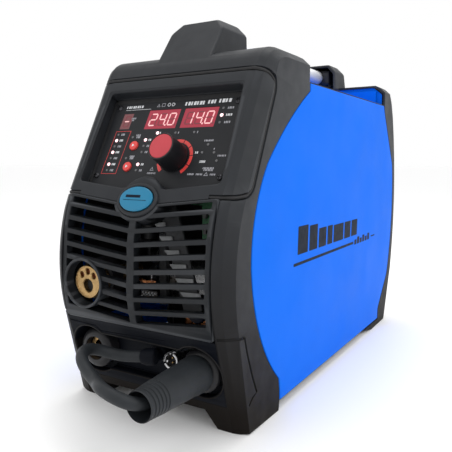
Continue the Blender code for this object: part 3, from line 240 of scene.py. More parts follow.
# Painted light: the pale patches on the air guide where light falls through the slats.
PAINTED_LIGHT = surface("painted_light_patch", (0.36, 0.37, 0.38), 0.6, mottle=0.12, mottle_scale=60.0, grain=0.1,
                    specular=0.3)
CARD = surface("board_parts", (0.10, 0.10, 0.10), 0.5, mottle=0.3, mottle_scale=120.0, grain=0.2)
RUBBER = surface("cable_rubber", (0.0150, 0.0175, 0.0205), 0.55, mottle=0.12, mottle_scale=60.0,
                 grain_scale=1000.0, grain=0.25, rounding=0.0005, specular=0.27)
REEL = surface("reel_plastic", (0.10, 0.10, 0.11), 0.45, mottle=0.08, grain=0.12)
WELD_WIRE = surface("coppered_wire", (0.80, 0.42, 0.24), 0.26, 1.0, mottle=0.12, mottle_scale=500.0,
                    grain=0.1)
PRINT = surface("white_print", (0.62, 0.63, 0.65), 0.5, mottle=0.10, mottle_scale=300.0, grain=0.05)
GREY_PRINT = surface("grey_print", (0.30, 0.30, 0.33), 0.5, mottle=0.10, mottle_scale=300.0, grain=0.05)
RED_PRINT = surface("red_print", (0.62, 0.045, 0.04), 0.45, mottle=0.08, mottle_scale=200.0, grain=0.05)
DARK_PRINT = surface("dark_print", (0.0040, 0.0085, 0.0190), 0.55, mottle=0.12, mottle_scale=60.0,
                     grain=0.05,
                     specular=0.10)
NAVY = surface("capacitor_sleeve", (0.003, 0.006, 0.035), 0.35, mottle=0.1, grain=0.05)
LED_OFF = surface("led_unlit", (0.10, 0.10, 0.105), 0.25, mottle=0.15, mottle_scale=600.0, grain=0.05)
LED_ON = glowing("led_lit", (1.0, 0.62, 0.66), 2.6)
# Painted glow: the display windows, bright and dim, emit a red light of their own though they are no lamps.
WINDOW = glowing("display_window", (0.50, 0.020, 0.060), 0.55, base=(0.10, 0.004, 0.008))
WINDOW_DIM = glowing("display_window_dim", (0.16, 0.05, 0.06), 0.5, base=(0.08, 0.02, 0.02))
DIGIT_ON = glowing("digit_lit", (1.0, 0.56, 0.56), 1.15)
# Painted glow: the unlit segments also emit a faint red light.
DIGIT_OFF = glowing("digit_unlit", (0.22, 0.03, 0.05), 0.6, base=(0.06, 0.01, 0.01))
INSULATOR = surface("pin_insulator", (0.16, 0.035, 0.018), 0.4, mottle=0.15, grain=0.1)
SHADOW = surface("dark_inside", (0.006, 0.006, 0.007), 0.7, mottle=0.1, grain=0.1)


# ---------------------------------------------------------------- outline helpers
def area(points):
    return sum(a.x * b.y - b.x * a.y for a, b in zip(points, points[1:] + points[:1])) / 2


def arc(start, via, end, steps):
    """Points on the circle through three points, both ends included."""
    a, b, c = Vector(start), Vector(via), Vector(end)
    d = 2 * (a.x * (b.y - c.y) + b.x * (c.y - a.y) + c.x * (a.y - b.y))
    aa, bb, cc = a.length_squared, b.length_squared, c.length_squared
    centre = Vector(((aa * (b.y - c.y) + bb * (c.y - a.y) + cc * (a.y - b.y)) / d,
                     (aa * (c.x - b.x) + bb * (a.x - c.x) + cc * (b.x - a.x)) / d))
    first, middle, last = a - centre, b - centre, c - centre
    sweep = first.angle_signed(middle) + middle.angle_signed(last)
    base = atan2(first.y, first.x)
    radius = first.length
    angles = [base - sweep * i / steps for i in range(steps + 1)]
    return [centre + radius * Vector((cos(t), sin(t))) for t in angles]


def rounded(outline, radius, steps=4, closed=True):
    """Round the corners of an outline; an open run keeps its end points."""
    points = [Vector(p) for p in outline]
    last = len(points) - 1
    result = []
    for i, corner in enumerate(points):
        if not closed and i in (0, last):
            result.append(corner)
            continue
        before = points[i - 1] - corner
        after = points[(i + 1) % len(points)] - corner
        reach = min(radius, 0.48 * before.length, 0.48 * after.length)
        start, end = corner + before.normalized() * reach, corner + after.normalized() * reach
        for s in range(steps + 1):
            t = s / steps
            result.append((1 - t) ** 2 * start + 2 * t * (1 - t) * corner + t * t * end)
    return result


def inflate(outline, distance):
    """Grow a closed outline by a distance, mitred."""
    points = [Vector(p) for p in outline]
    turn = 1.0 if area(points) > 0 else -1.0
    moved = []
    for i, point in enumerate(points):
        along = (point - points[i - 1]).normalized()
        onward = (points[(i + 1) % len(points)] - point).normalized()
        normal = Vector((along.y, -along.x)) * turn + Vector((onward.y, -onward.x)) * turn
        moved.append(point + normal * (distance / max(normal.length_squared / 2, 0.35)))
    return moved


def offset(points, distances):
    """Move an open run of points to its right by one distance each."""
    moved = []
    for i, (point, distance) in enumerate(zip(points, distances)):
        before, after = points[max(i - 1, 0)], points[min(i + 1, len(points) - 1)]
        along = (Vector(after) - Vector(before)).normalized()
        moved.append(Vector(point) + Vector((along.y, -along.x)) * distance)
    return moved


def full_turn(steps):
    return [2 * pi * i / steps for i in range(steps)]


def oval(x, z, half_x, half_z, steps):
    return [Vector((x + half_x * cos(a), z + half_z * sin(a))) for a in full_turn(steps)]


def circle(x, z, radius, steps=40):
    return oval(x, z, radius, radius, steps)


def rectangle(x0, x1, z0, z1):
    return [Vector((x0, z0)), Vector((x1, z0)), Vector((x1, z1)), Vector((x0, z1))]


# ---------------------------------------------------------------- mesh helpers
def across(a, b, h):
    """Outline in YZ, extruded along X."""
    return h, a, b


def along_y(a, b, h):
    """Outline in XZ, extruded along Y."""
    return a, h, b


def forwards(a, b, h):
    """Outline in XZ, extruded towards the front."""
    return a, -h, b


def upward(a, b, h):
    return a, b, h


def skin(bm, rings, caps=True):
    """Join rings of vertices into a closed skin."""
    for near, far in zip(rings, rings[1:]):
        for i in range(len(near)):
            j = (i + 1) % len(near)
            bm.faces.new((near[i], near[j], far[j], far[i]))
    if caps:
        bm.faces.new(rings[0])
        bm.faces.new(rings[-1])


def layered(outline, levels, place=upward):
    """Closed solid through copies of an outline: levels are (height, growth)."""
    bm = bmesh.new()
    rings = []
    for height, growth in levels:
        ring = inflate(outline, growth) if growth else outline
        rings.append([bm.verts.new(place(p[0], p[1], height)) for p in ring])
    skin(bm, rings)
    return bm


def prism(outline, low, high, place=upward):
    return layered(outline, ((low, 0.0), (high, 0.0)), place)


def cushion(outline, low, high, edge, place=upward):
    """Prism whose top edge is rounded over."""
    levels = [(low, 0.0)]
    for i in range(4):
        angle = pi / 2 * i / 3
        levels.append((high - edge + edge * sin(angle), -edge * (1 - cos(angle))))
    return layered(outline, levels, place)


def block(low, high):
    return prism(rectangle(low[0], high[0], low[1], high[1]), low[2], high[2])


def turned(profile, steps=48):
    """Turned solid about Z from (radius, height) points; a closed ring if no point is on Z."""
    bm = bmesh.new()
    rings = []
    for radius, height in profile:
        if radius < 1e-6:
            rings.append([bm.verts.new((0.0, 0.0, height))])
        else:
            rings.append([bm.verts.new((radius * cos(a), radius * sin(a), height))
                          for a in full_turn(steps)])
    pairs = list(zip(rings, rings[1:]))
    if len(rings[0]) > 1 and len(rings[-1]) > 1:
        pairs.append((rings[-1], rings[0]))
    for near, far in pairs:
        for i in range(steps):
            j = (i + 1) % steps
            corners = [near[i % len(near)], near[j % len(near)], far[j % len(far)], far[i % len(far)]]
            corners = list(dict.fromkeys(corners))
            if len(corners) > 2:
                bm.faces.new(corners)
    return bm


def tube(path, radius, sides=12, closed=False):
    """Round bar swept along points."""
    points = [Vector(p) for p in path]
    count = len(points)
    bm = bmesh.new()
    rings = []
    normal = None
    for i, point in enumerate(points):
        if closed:
            along = (points[(i + 1) % count] - points[i - 1]).normalized()
        else:
            along = (points[min(i + 1, count - 1)] - points[max(i - 1, 0)]).normalized()
        if normal is None:
            normal = along.orthogonal().normalized()
        normal = (normal - along * normal.dot(along)).normalized()
        binormal = along.cross(normal)
        rings.append([bm.verts.new(point + radius * (normal * cos(a) + binormal * sin(a)))
                      for a in full_turn(sides)])
    if closed:
        first, last = rings[0], rings[-1]
        turn = min(range(sides), key=lambda k: (first[k].co - last[0].co).length)
        rings.append(first[turn:] + first[:turn])
    skin(bm, rings, caps=not closed)
    return bm


def rod(radius, start, end, steps=48):
    """Plain round bar about Z between two heights."""
    return turned(((0.0, start), (radius, start), (radius, end), (0.0, end)), steps)


def merged(pieces):
    """One bmesh from several."""
    whole = bmesh.new()
    for bm in pieces:
        bmesh.ops.recalc_face_normals(bm, faces=bm.faces)
        mesh = bpy.data.meshes.new("part")
        bm.to_mesh(mesh)
        bm.free()
        whole.from_mesh(mesh)
        bpy.data.meshes.remove(mesh)
    return whole


def moved(bm, matrix):
    bmesh.ops.transform(bm, matrix=matrix, verts=bm.verts)
    return bm


def axis_at(location, axis):
    """Matrix that puts a turned piece's Z on an axis."""
    turn = Vector((0.0, 0.0, 1.0)).rotation_difference(Vector(axis)).to_matrix().to_4x4()
    return Matrix.Translation(Vector(location)) @ turn


def as_object(name, bm, material=None, at=AT_DATUM, sharp=SHARP_DEGREES):
    bmesh.ops.recalc_face_normals(bm, faces=bm.faces)
    bmesh.ops.transform(bm, matrix=at, verts=bm.verts)
    mesh = bpy.data.meshes.new(name)
    bm.to_mesh(mesh)
    bm.free()
    mesh.shade_smooth()
    mesh.set_sharp_from_angle(angle=radians(sharp))
    if material:
        mesh.materials.append(material)
    made = bpy.data.objects.new(name, mesh)
    bpy.context.scene.collection.objects.link(made)
    return made


def apply_modifiers(target):
    graph = bpy.context.evaluated_depsgraph_get()
    mesh = bpy.data.meshes.new_from_object(target.evaluated_get(graph))
    target.modifiers.clear()
    target.data = mesh
    mesh.shade_smooth()
    mesh.set_sharp_from_angle(angle=radians(SHARP_DEGREES))


def combine_with(target, helpers, operation):
    """Cut, join or intersect with helper objects, which are used up."""
    for helper in helpers:
        step = target.modifiers.new("combine", "BOOLEAN")
        step.operation, step.solver, step.object = operation, "EXACT", helper
    apply_modifiers(target)
    for helper in helpers:
        bpy.data.objects.remove(helper)
    return target


def combine(target, others, operation, at=AT_DATUM):
    """Cut, join or intersect with other bmeshes."""
    return combine_with(target, [as_object("helper", bm, at=at) for bm in others], operation)


def carve(target, *cutters, at=AT_DATUM):
    return combine(target, cutters, "DIFFERENCE", at)


def weld(target, *others, at=AT_DATUM):
    return combine(target, others, "UNION", at)


def settle(target, body="casing", replaces=(), weighted=True):
    """Hang a finished piece on its body."""
    if weighted:
        even = target.modifiers.new("even_normals", "WEIGHTED_NORMAL")
        even.keep_sharp = True
    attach(target, body)
    if replaces:
        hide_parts(*replaces)
    return target


def piece(name, bm, material, body="casing", at=AT_DATUM, replaces=()):
    return settle(as_object(name, bm, material, at), body, replaces)


# ---------------------------------------------------------------- outlines of the casing (Y, Z)
def front_curve():
    """Front of the machine from the foot to the top, seen from the side."""
    low = arc((-0.0020, 0.0965), (FRONT_Y, 0.1265), (0.0037, 0.2037), 16)
    upper = [(0.0106, 0.2198), (0.0220, 0.2420), (0.0600, 0.3160), (0.0757, 0.3465), (0.0835, 0.3580),
             (0.0960, 0.3642), (0.1120, FRAME_TOP)]
    return rounded([(0.0300, FOOT_Z)] + low + upper, 0.0060, 3, closed=False)


FRONT_RUN = front_curve()


def front_y(z):
    """Depth of the front surface at a height."""
    for (y0, z0), (y1, z1) in zip(FRONT_RUN, FRONT_RUN[1:]):
        if z0 <= z <= z1:
            return y0 + (y1 - y0) * (z - z0) / (z1 - z0)
    return FRONT_RUN[0].x if z < FRONT_RUN[0].y else FRONT_RUN[-1].x


def on_front(a, b, h):
    """Outline in XZ laid on the curved front, h behind it."""
    return a, front_y(b) + h, b


def panel_front_edge():
    edge = arc((0.1006, 0.0), (0.1000, 0.0120), (0.0980, 0.0247), 2)
    edge += arc((0.0980, 0.0247), (0.0470, 0.1010), (0.0363, 0.1520), 16)[1:]
    edge += arc((0.0363, 0.1520), (0.0467, 0.2110), (0.0685, 0.2500), 12)[1:]
    return edge + arc((0.0685, 0.2500), (0.1030, 0.2820), (0.1695, 0.3280), 10)[1:]


def panel_rear_edge():
    edge = [Vector((0.4675, 0.3250))] + arc((0.5200, 0.2480), (0.5270, 0.1620), (0.5070, 0.0650), 18)
    return rounded([(0.4620, PANEL_TOP)] + edge + [(0.4614, 0.0167), (0.4616, 0.0)], 0.004, 3, closed=False)


def rear_curve():
    low = arc((0.5364, 0.0730), (BACK_Y, 0.1650), (0.5234, 0.3220), 18)
    run = [(0.5000, FOOT_Z)] + low + [(0.5140, 0.3480), (0.5060, 0.3600), (0.4950, REAR_TOP)]
    return rounded(run, 0.0060, 3, closed=False)


def chamfer_at(z, size, top=0.8):
    """The corner chamfer fades towards the foot and changes by a factor at the top."""
    low = 0.35 + 0.65 * min(max((z - FOOT_Z) / 0.090, 0.0), 1.0)
    high = 1.0 + (top - 1.0) * min(max((z - 0.33) / 0.025, 0.0), 1.0)
    return size * low * high


def hoop(run, closing, size, inset, half_w, share=1.0, top=0.8):
    """Loft a side outline across the machine with rounded chamfers at both side faces."""
    chamfer = rounded([(0.050, 0.0), (0.0155, 0.0), (0.0085, 0.31), (0.0, 1.0)], 0.0035, 4,
                      closed=False)[1:]
    chamfer = [Vector((0.0205, 0.0))] + chamfer
    sections = []
    for back, depth in chamfer:
        distances = [inset + share * depth * chamfer_at(point[1], size, top) for point in run]
        shifted = offset(run, distances)
        sections.append((half_w - back, shifted + [Vector(p) for p in closing]))
    bm = bmesh.new()
    every = [(-x, ring) for x, ring in reversed(sections)] + sections
    skin(bm, [[bm.verts.new((x, p[0], p[1])) for p in ring] for x, ring in every])
    return bm


def hump(front, back, inset, floor, base=0.0355):
    """Handle mount with a flat top, sloped shoulders and rounded upright edges."""
    foot, shoulder, crown = 0.3465, 0.3930 - inset, 0.4030 - inset
    levels = [(floor, base + 0.0006), (foot, base), (shoulder - 0.0020, base - 0.0014),
              (shoulder + 0.0010, base - 0.0030), (crown - 0.0010, 0.0252), (crown, 0.0238)]
    bm = bmesh.new()
    rings = []
    for z, half in levels:
        rise = min(max((z - foot) / (shoulder - foot), 0.0), 1.0)
        top = min(max((z - shoulder) / (crown - shoulder), 0.0), 1.0)
        y0 = front[0] + (front[1] - front[0]) * rise + (front[2] - front[1]) * top + inset
        y0 += 0.0030 if z < foot else 0.0
        y1 = back[0] + (back[1] - back[0]) * rise + (back[2] - back[1]) * top - inset
        ring = rounded(rectangle(inset - half, half - inset, y0, y1), 0.0035, 3)
        rings.append([bm.verts.new((p.x, p.y, z)) for p in ring])
    skin(bm, rings)
    return bm


def foot_tunnel(front, back):
    """Cutter for the arch between the two feet of a frame."""
    outline = [(-0.077, FOOT_Z - 0.02), (-0.077, FOOT_Z), (-0.066, 0.0105), (0.066, 0.0105),
               (0.077, FOOT_Z), (0.077, FOOT_Z - 0.02)]
    return prism(outline, front, back, along_y)


# ---------------------------------------------------------------- front shell
def front_solid():
    closing = [(0.1675, PANEL_TOP + 0.0006)]
    closing += [(p.x - 0.0009, p.y) for p in reversed(panel_front_edge())] + [(0.0980, FOOT_Z)]
    return hoop(FRONT_RUN + [Vector((0.1675, FRAME_TOP))], closing, CHAMFER, 0.0, HALF_W)


def fascia_side(grow=0.0):
    """Side view of the fascia: it wraps a little way round the corner of the casing."""
    corners = ((-0.0600, FASCIA_LOW_Z), (0.0240, FASCIA_LOW_Z), (0.0385, 0.2240), (0.0655, 0.2810),
               (0.0850, 0.3225), (0.0815, 0.3360), (0.0735, FASCIA_TOP_Z), (-0.0600, FASCIA_TOP_Z))
    outline = rounded(corners, 0.0090, 5)
    return inflate(outline, grow) if grow else outline


def chevron_z(x, z):
    """Height of a chevron line that is at z in the middle of the grille."""
    return z + SLAT_RISE * abs(x) / SLAT_RUN


def fascia_wedge(grow=0.0):
    low = FASCIA_LOW_Z - SLAT_RISE * GRILLE_HALF_W / SLAT_RUN
    half = GRILLE_HALF_W + grow
    outline = [(-half, FASCIA_LOW_Z + 0.001), (-half, FASCIA_LOW_Z - grow), (0.0, low - grow),
               (half, FASCIA_LOW_Z - grow), (half, FASCIA_LOW_Z + 0.001)]
    return prism(outline, -0.05, 0.0300, along_y)


def groove_path(deep=0.0006):
    """Runs round the fascia just below the skin of the casing."""
    side = [p for p in reversed(fascia_side()) if p.x > -0.03]
    path = []
    for point in side:
        depth = min(depth_behind(point, a, b) for a, b in zip(FRONT_RUN, FRONT_RUN[1:]))
        size = chamfer_at(point.y, CHAMFER)
        if depth < 0.0:
            continue
        share = min(depth / size, 1.0)
        back = 0.0085 * (1 - (share - 0.31) / 0.69) if share > 0.31 else 0.0155 - 0.0070 * share / 0.31
        path.append((HALF_W - back - deep, point.x, point.y))
    top = (FASCIA_TOP_Z, front_y(FASCIA_TOP_Z) + deep)
    low = (FASCIA_LOW_Z, front_y(FASCIA_LOW_Z) + deep)
    right = [(x, top[1], top[0]) for x in (0.0, 0.03, 0.06, 0.085)] + path
    right += [(x, low[1], low[0]) for x in (0.0930, 0.0800)]
    left = [(-x, y, z) for x, y, z in reversed(right[1:])]
    return left + right


def depth_behind(point, start, end):
    """Distance of a point behind one stretch of the front run; large if it isn't beside it."""
    along = end - start
    share = (point - start).dot(along) / along.length_squared
    if not -0.05 <= share <= 1.05:
        return 9.0
    normal = Vector((along.y, -along.x)).normalized()
    return (point - start).dot(normal)


def recess_outline(grow):
    """Opening over the control plate: a shallow V below, bowed up over the badge."""
    side_low, side_high = 0.0880 + grow, 0.0840 + grow
    low, high = -0.0110 - grow, 0.0952 + grow
    bow = arc((0.0235, -0.0175 - grow), (BOW_U, -0.0050 - grow), (-0.0200, -0.0175 - grow), 12)
    corners = [(-side_high, high), (-side_low, low), (-0.0260, -0.0185 - grow)] + list(reversed(bow))
    corners += [(0.0295, -0.0185 - grow), (side_low, low), (side_high, high)]
    return rounded(corners, 0.0045, 4)


def ellipse(grow):
    """Outline of the badge, grown by a distance."""
    return oval(0.0, BADGE_V, BADGE_SIZE[0] + grow, BADGE_SIZE[1] + grow, 56)


def flared(outline_at, bottom, top, edge):
    """Cutter for a hole whose rim is rounded over; outline_at(growth) gives the hole."""
    bm = bmesh.new()
    rings = []
    heights = [(bottom, 0.0)]
    for i in range(4):
        angle = pi / 2 * i / 3
        heights.append((top - edge + edge * sin(angle), edge * (1 - cos(angle))))
    heights.append((top + 0.03, edge))
    for height, growth in heights:
        rings.append([bm.verts.new((p[0], p[1], height)) for p in outline_at(growth)])
    skin(bm, rings)
    return bm


def corner_pads():
    """Grooves that outline the pad on each lower corner of the frame."""
    right = [(0.0950, 0.0000, 0.0920), (0.1015, 0.0042, 0.0917), (0.1097, 0.0140, 0.0910),
             (0.1099, 0.0212, 0.0905),
             (0.1098, 0.0243, 0.0890),
             (0.1098, 0.0288, 0.0741), (0.1098, 0.0395, 0.0472), (0.1098, 0.0486, 0.0290),
             (0.1098, 0.0400, 0.0262), (0.1096, 0.0332, 0.0206)]
    return [[(side * x, y, z) for x, y, z in right] for side in (-1, 1)]


def build_front():
    frame_shell = as_object("front_frame_shell", front_solid(), PLASTIC)
    weld(frame_shell, hump((0.0762, 0.1102, 0.1180), (0.1640, 0.1640, 0.1600), 0.0, 0.3430))
    fascia = frame_shell.copy()
    fascia.data = frame_shell.data.copy()
    bpy.context.scene.collection.objects.link(fascia)
    fascia.name = "control_fascia_shell"

    cavity_run = [p for p in FRONT_RUN if 0.0230 + FOOT_Z < p[1]] + [Vector((0.30, FRAME_TOP))]
    cavity = hoop(cavity_run, [(0.30, FOOT_Z + 0.0230)], CHAMFER, WALL, HALF_W - WALL, share=0.9)
    tube_hole = moved(rod(TUBE_RADIUS + GAP, 0.20, 0.140), axis_at((0, 0, TUBE_Z), (0, 1, 0)))
    below = prism(rectangle(-0.0930, 0.0930, 0.0195, 0.2250), -0.06, 0.0800, along_y)
    behind = moved(block((-0.0900, -0.0200, -0.05), (0.0900, 0.1010, 0.04)), PANEL_IN_DATUM)
    grooves = [tube(path, 0.0015, 8) for path in corner_pads()]
    groove = tube(groove_path(), FASCIA_GROOVE, 10)
    tunnel = foot_tunnel(-0.05, 0.20)
    wraps = prism(fascia_side(), -0.13, 0.13, across)
    carve(frame_shell, wraps, fascia_wedge(), cavity, below, behind, tube_hole, tunnel, groove, *grooves)
    settle(frame_shell, replaces=("front_frame",))

    slab = moved(block((-0.12, -0.0500, -0.0130), (0.12, 0.1300, 0.06)), PANEL_IN_DATUM)
    region = as_object("region", prism(fascia_side(-0.0002), -0.13, 0.13, across))
    weld(region, fascia_wedge(-0.0002))
    combine_with(fascia, [region], "INTERSECT")
    combine(fascia, [slab], "INTERSECT")
    recess = moved(flared(recess_outline, -0.0003, FASCIA_HEIGHT, 0.0022), PANEL_IN_DATUM)
    through = moved(block((-0.0870, -0.0140, -0.05), (0.0870, 0.0940, 0.01)), PANEL_IN_DATUM)
    boss = moved(layered(ellipse(0.0046), ((-0.010, 0.0), (0.0128, 0.0), (0.0138, -0.0003),
                                           (0.0144, -0.0010),
                                            (0.0146, -0.0022))), PANEL_IN_DATUM)
    seat = moved(layered(ellipse(0.0010), ((0.0125, 0.0), (0.0143, 0.0), (0.0200, 0.0030))), PANEL_IN_DATUM)
    carve(fascia, recess, through, tube(groove_path(), FASCIA_GROOVE, 10))
    weld(fascia, boss)
    carve(fascia, seat)
    settle(fascia, replaces=("control_fascia",))
    # Painted shade: a near-black tube in the bottom of the groove keeps it dark under any light.
    piece("fascia_groove_shade", tube(groove_path(0.0024), 0.0019, 8), SHADOW)


# ---------------------------------------------------------------- grille
def front_slab(half_w, z0, z1, proud, depth, steps=26):
    levels = [z0 + (z1 - z0) * i / steps for i in range(steps + 1)]
    face = [(front_y(z) - proud, z) for z in levels]
    back = [(front_y(z) + depth, z) for z in reversed(levels[::2])]
    return prism(face + back, -half_w, half_w, across)


def slat_gap(side, low, high):
    """Opening between two chevron slats on one side of the middle bar, its rim rounded over."""
    x0, x1 = BAR_HALF_W, 0.0862
    corners = [(side * x0, chevron_z(x0, low)), (side * x1, chevron_z(x1, low)),
               (side * x1, chevron_z(x1, high)), (side * x0, chevron_z(x0, high))]
    outline = rounded(corners, 0.0012, 2)
    levels = ((0.04, 0.0), (0.0006 - GRILLE_PROUD, 0.0), (0.0002 - GRILLE_PROUD, 0.0003),
              (-GRILLE_PROUD, 0.0008), (-GRILLE_PROUD - 0.006, 0.0014))
    return layered(outline, levels, on_front)


def build_grille():
    grille = as_object("front_grille_shell", front_slab(0.1, 0.080, 0.2245, GRILLE_PROUD, 0.0085),
                       SLAT_PLASTIC)
    top = GRILLE_Z[1] - SLAT_RISE * GRILLE_HALF_W / SLAT_RUN
    half = GRILLE_HALF_W
    rim = [(-half, GRILLE_Z[0]), (half, GRILLE_Z[0]), (half, GRILLE_Z[1])]
    rim += [(0.0, top), (-half, GRILLE_Z[1])]
    rim = rounded(rim, 0.0050, 4)
    shape = layered(rim, ((0.04, 0.0), (0.0008 - GRILLE_PROUD, 0.0), (0.0002 - GRILLE_PROUD, -0.0004),
                          (-GRILLE_PROUD, -0.0013), (-GRILLE_PROUD - 0.008, -0.0020)), on_front)
    combine(grille, [shape], "INTERSECT")
    gaps = []
    first = 0.0935
    for i in range(SLAT_COUNT):
        low = first + SLAT_PITCH * i
        high = low + SLAT_PITCH - SLAT_HEIGHT
        if i == SLAT_COUNT - 1:
            high = low + 0.0058
        gaps += [slat_gap(side, low, high) for side in (-1, 1)]
    openings = as_object("openings", merged(gaps))
    at_ring = axis_at((EURO_X, 0, EURO_Z), (0, 1, 0))
    boss = moved(rod(EURO_RING, 0.2, -0.2), at_ring)
    badge_room = moved(prism(ellipse(0.0085), -0.06, 0.06), PANEL_IN_DATUM)
    carve(openings, boss, badge_room)
    combine_with(grille, [openings], "DIFFERENCE")
    ring_y = front_y(EURO_Z) - GRILLE_PROUD
    lip = moved(turned(((EURO_RING - 0.0030, ring_y - 0.0002), (EURO_RING - 0.0022, ring_y - 0.0012),
                        (EURO_RING - 0.0009, ring_y - 0.0014), (EURO_RING, ring_y - 0.0006),
                        (EURO_RING, ring_y + 0.0090), (EURO_RING - 0.0030, ring_y + 0.0090))),
                at_ring)
    weld(grille, lip)
    bore = moved(rod(EURO_RING - 0.0030, 0.10, -0.06), at_ring)
    hood = moved(prism(ellipse(0.0052), -0.03, 0.05), PANEL_IN_DATUM)
    carve(grille, bore, hood)
    settle(grille, replaces=("front_grille",))
    washer = turned(((0.0179, 0.0016), (0.0190, 0.0022), (EURO_RING - 0.0034, 0.0022),
                     (EURO_RING - 0.0032, 0.0014),
                     (EURO_RING - 0.0032, -0.0130), (0.0179, -0.0130)))
    piece("torch_socket_washer", moved(washer, axis_at((EURO_X, 0.0155, EURO_Z), (0, -1, 0))), SHADOW,
          replaces=("euro_insulator",))


# ---------------------------------------------------------------- connector panel
def pocket_outline():
    right = [Vector((SOCKET_X + POCKET_RADIUS * cos(a), SOCKET_Z + POCKET_RADIUS * sin(a)))
             for a in (radians(-130 + 260 * i / 30) for i in range(31))]
    left = [Vector((-p.x, p.y)) for p in reversed(right)]
    return right + left


def build_connectors():
    panel = as_object("connector_panel_shell", front_slab(0.0928, 0.0197, 0.0880, 0.0, 0.0200),
                      SOCKET_PLASTIC)
    outline = pocket_outline()
    rim = ((POCKET_FLOOR, 0.0), (0.0008, 0.0), (0.0002, 0.0003), (0.0, 0.0009), (-0.02, 0.0012))

    def pocket_place(a, b, h):
        return (a, h, b) if h > 0.02 else (a, front_y(b) + h, b)

    hollow = prism(rectangle(-0.0890, 0.0890, 0.010, 0.100), POCKET_FLOOR + WALL, 0.08, along_y)
    bores = [moved(rod(r, 0.10, -0.05), axis_at((x, 0, z), (0, 1, 0)))
             for x, z, r in ((-SOCKET_X, SOCKET_Z, 0.0165), (SOCKET_X, SOCKET_Z, 0.0165),
                             (*PIN_SOCKET, 0.0078),
                             (*GLAND, 0.0083))]
    carve(panel, layered(outline, rim, pocket_place), hollow, *bores)
    step_line = [(-0.0925, front_y(0.083), 0.0830), (-0.0560, front_y(0.0815), 0.0815),
                 (-0.0500, front_y(0.0765), 0.0765), (0.0350, front_y(0.0800), 0.0800)]
    carve(panel, tube(step_line, 0.0007, 6))
    settle(panel, replaces=("connector_panel",))
    lip = [Vector((p.x, front_y(p.y) - 0.0001, p.y)) for p in inflate(outline, 0.0012)]
    piece("pocket_lip", tube(lip, 0.0008, 8, closed=True), PLASTIC)
    floor_lip = [Vector((p.x, POCKET_FLOOR - 0.0004, p.y)) for p in inflate(outline, -0.0012)]
    piece("pocket_floor_bead", tube(floor_lip, 0.0009, 6, closed=True), SOCKET_PLASTIC)


def build_power_sockets():
    for name, x in (("left", -SOCKET_X), ("right", SOCKET_X)):
        shroud = ((0.0125, 0.0154), (0.0131, 0.0160), (SOCKET_RADIUS - 0.0066, 0.0160),
                  (SOCKET_RADIUS - 0.0040, 0.0153),
                  (SOCKET_RADIUS - 0.0009, 0.0128), (SOCKET_RADIUS, 0.0110), (SOCKET_RADIUS, 0.0005),
                  (0.0150, 0.0005), (0.0150, -0.0190), (0.0090, -0.0190), (0.0090, -0.0100),
                  (0.0125, -0.0100))
        place = axis_at((x, POCKET_FLOOR - 0.0008, SOCKET_Z), (0, -1, 0))
        piece(f"{name}_power_socket", moved(turned(shroud), place), BLACK,
              replaces=(f"{name}_socket_shroud",))
        insert = as_object(f"{name}_power_contact", moved(turned(
            ((0.0068, 0.0074), (0.0074, 0.0080), (0.0112, 0.0080), (0.0118, 0.0074), (0.0118, -0.0090),
             (0.0086, -0.0090), (0.0086, -0.0300), (0.0068, -0.0300))), place), BRASS)
        slots = [moved(block((0.0050, -0.0020, 0.0020), (0.0104, 0.0020, 0.02)),
                       place @ Matrix.Rotation(radians(a), 4, "Z")) for a in (90, 270)]
        carve(insert, *slots)
        settle(insert, replaces=(f"{name}_socket_insert",))


def build_signal_socket():
    place = axis_at((PIN_SOCKET[0], POCKET_FLOOR - 0.0010, PIN_SOCKET[1]), (0, -1, 0))
    shell = as_object("signal_socket", moved(turned(
        ((0.0, 0.0020), (0.0066, 0.0020), (0.0066, 0.0150), (0.0070, 0.0154), (0.0084, 0.0154),
         (0.0088, 0.0150),
         (0.0088, 0.0012), (0.0075, 0.0012), (0.0075, -0.0180), (0.0, -0.0180)), 40), place), STEEL)
    notches = [moved(block((0.0060, -0.0011, 0.0110), (0.0100, 0.0011, 0.02)),
                     place @ Matrix.Rotation(radians(a), 4, "Z")) for a in (75, 105, 200, 330)]
    carve(shell, *notches)
    settle(shell, replaces=("two_pin_socket",))
    core = turned(((0.0, 0.0060), (0.0062, 0.0060), (0.0065, 0.0056), (0.0065, 0.0021), (0.0, 0.0021)), 32)
    piece("signal_socket_core", moved(core, place), BLACK)
    for i, z in enumerate((-0.0024, 0.0024)):
        pin = turned(((0.0, 0.0125), (0.0007, 0.0121), (0.0010, 0.0112), (0.0010, 0.0050), (0.0, 0.0050)),
                     16)
        at_pin = place @ Matrix.Translation((0.0, z, 0.0))
        piece(f"signal_pin_{i + 1}", moved(pin, at_pin), BRASS)


def build_lead_gland():
    gland_place = axis_at((GLAND[0], POCKET_FLOOR - 0.0008, GLAND[1]), (0, -1, 0))
    gland = turned(((0.0, 0.0100), (0.0092, 0.0100), (0.0100, 0.0092), (0.0105, 0.0080), (0.0105, 0.0006),
                    (0.0080, 0.0006), (0.0080, -0.0120), (0.0, -0.0120)), 40)
    gland = as_object("lead_gland_boot", moved(gland, gland_place), SOCKET_PLASTIC)
    start, follow = Vector(LEAD_ROUTE[0]), Vector(LEAD_ROUTE[1])
    nose = [(0.0, -0.0002), (LEAD_RADIUS + 0.0006, -0.0002), (LEAD_RADIUS + 0.0012, -0.0008),
            (LEAD_RADIUS + 0.0026, -0.0060), (LEAD_RADIUS + 0.0026, -0.0140),
            (LEAD_RADIUS + 0.0016, -0.0154),
            (0.0, -0.0158)]
    stub = rod(0.0066, -0.0180, -0.0025, 32)
    weld(gland, moved(stub, axis_at((GLAND[0], 0.0, GLAND[1]), (0, -1, 0))),
         moved(turned(nose, 32), axis_at(start, (follow - start).normalized())))
    settle(gland, replaces=("lead_gland",))


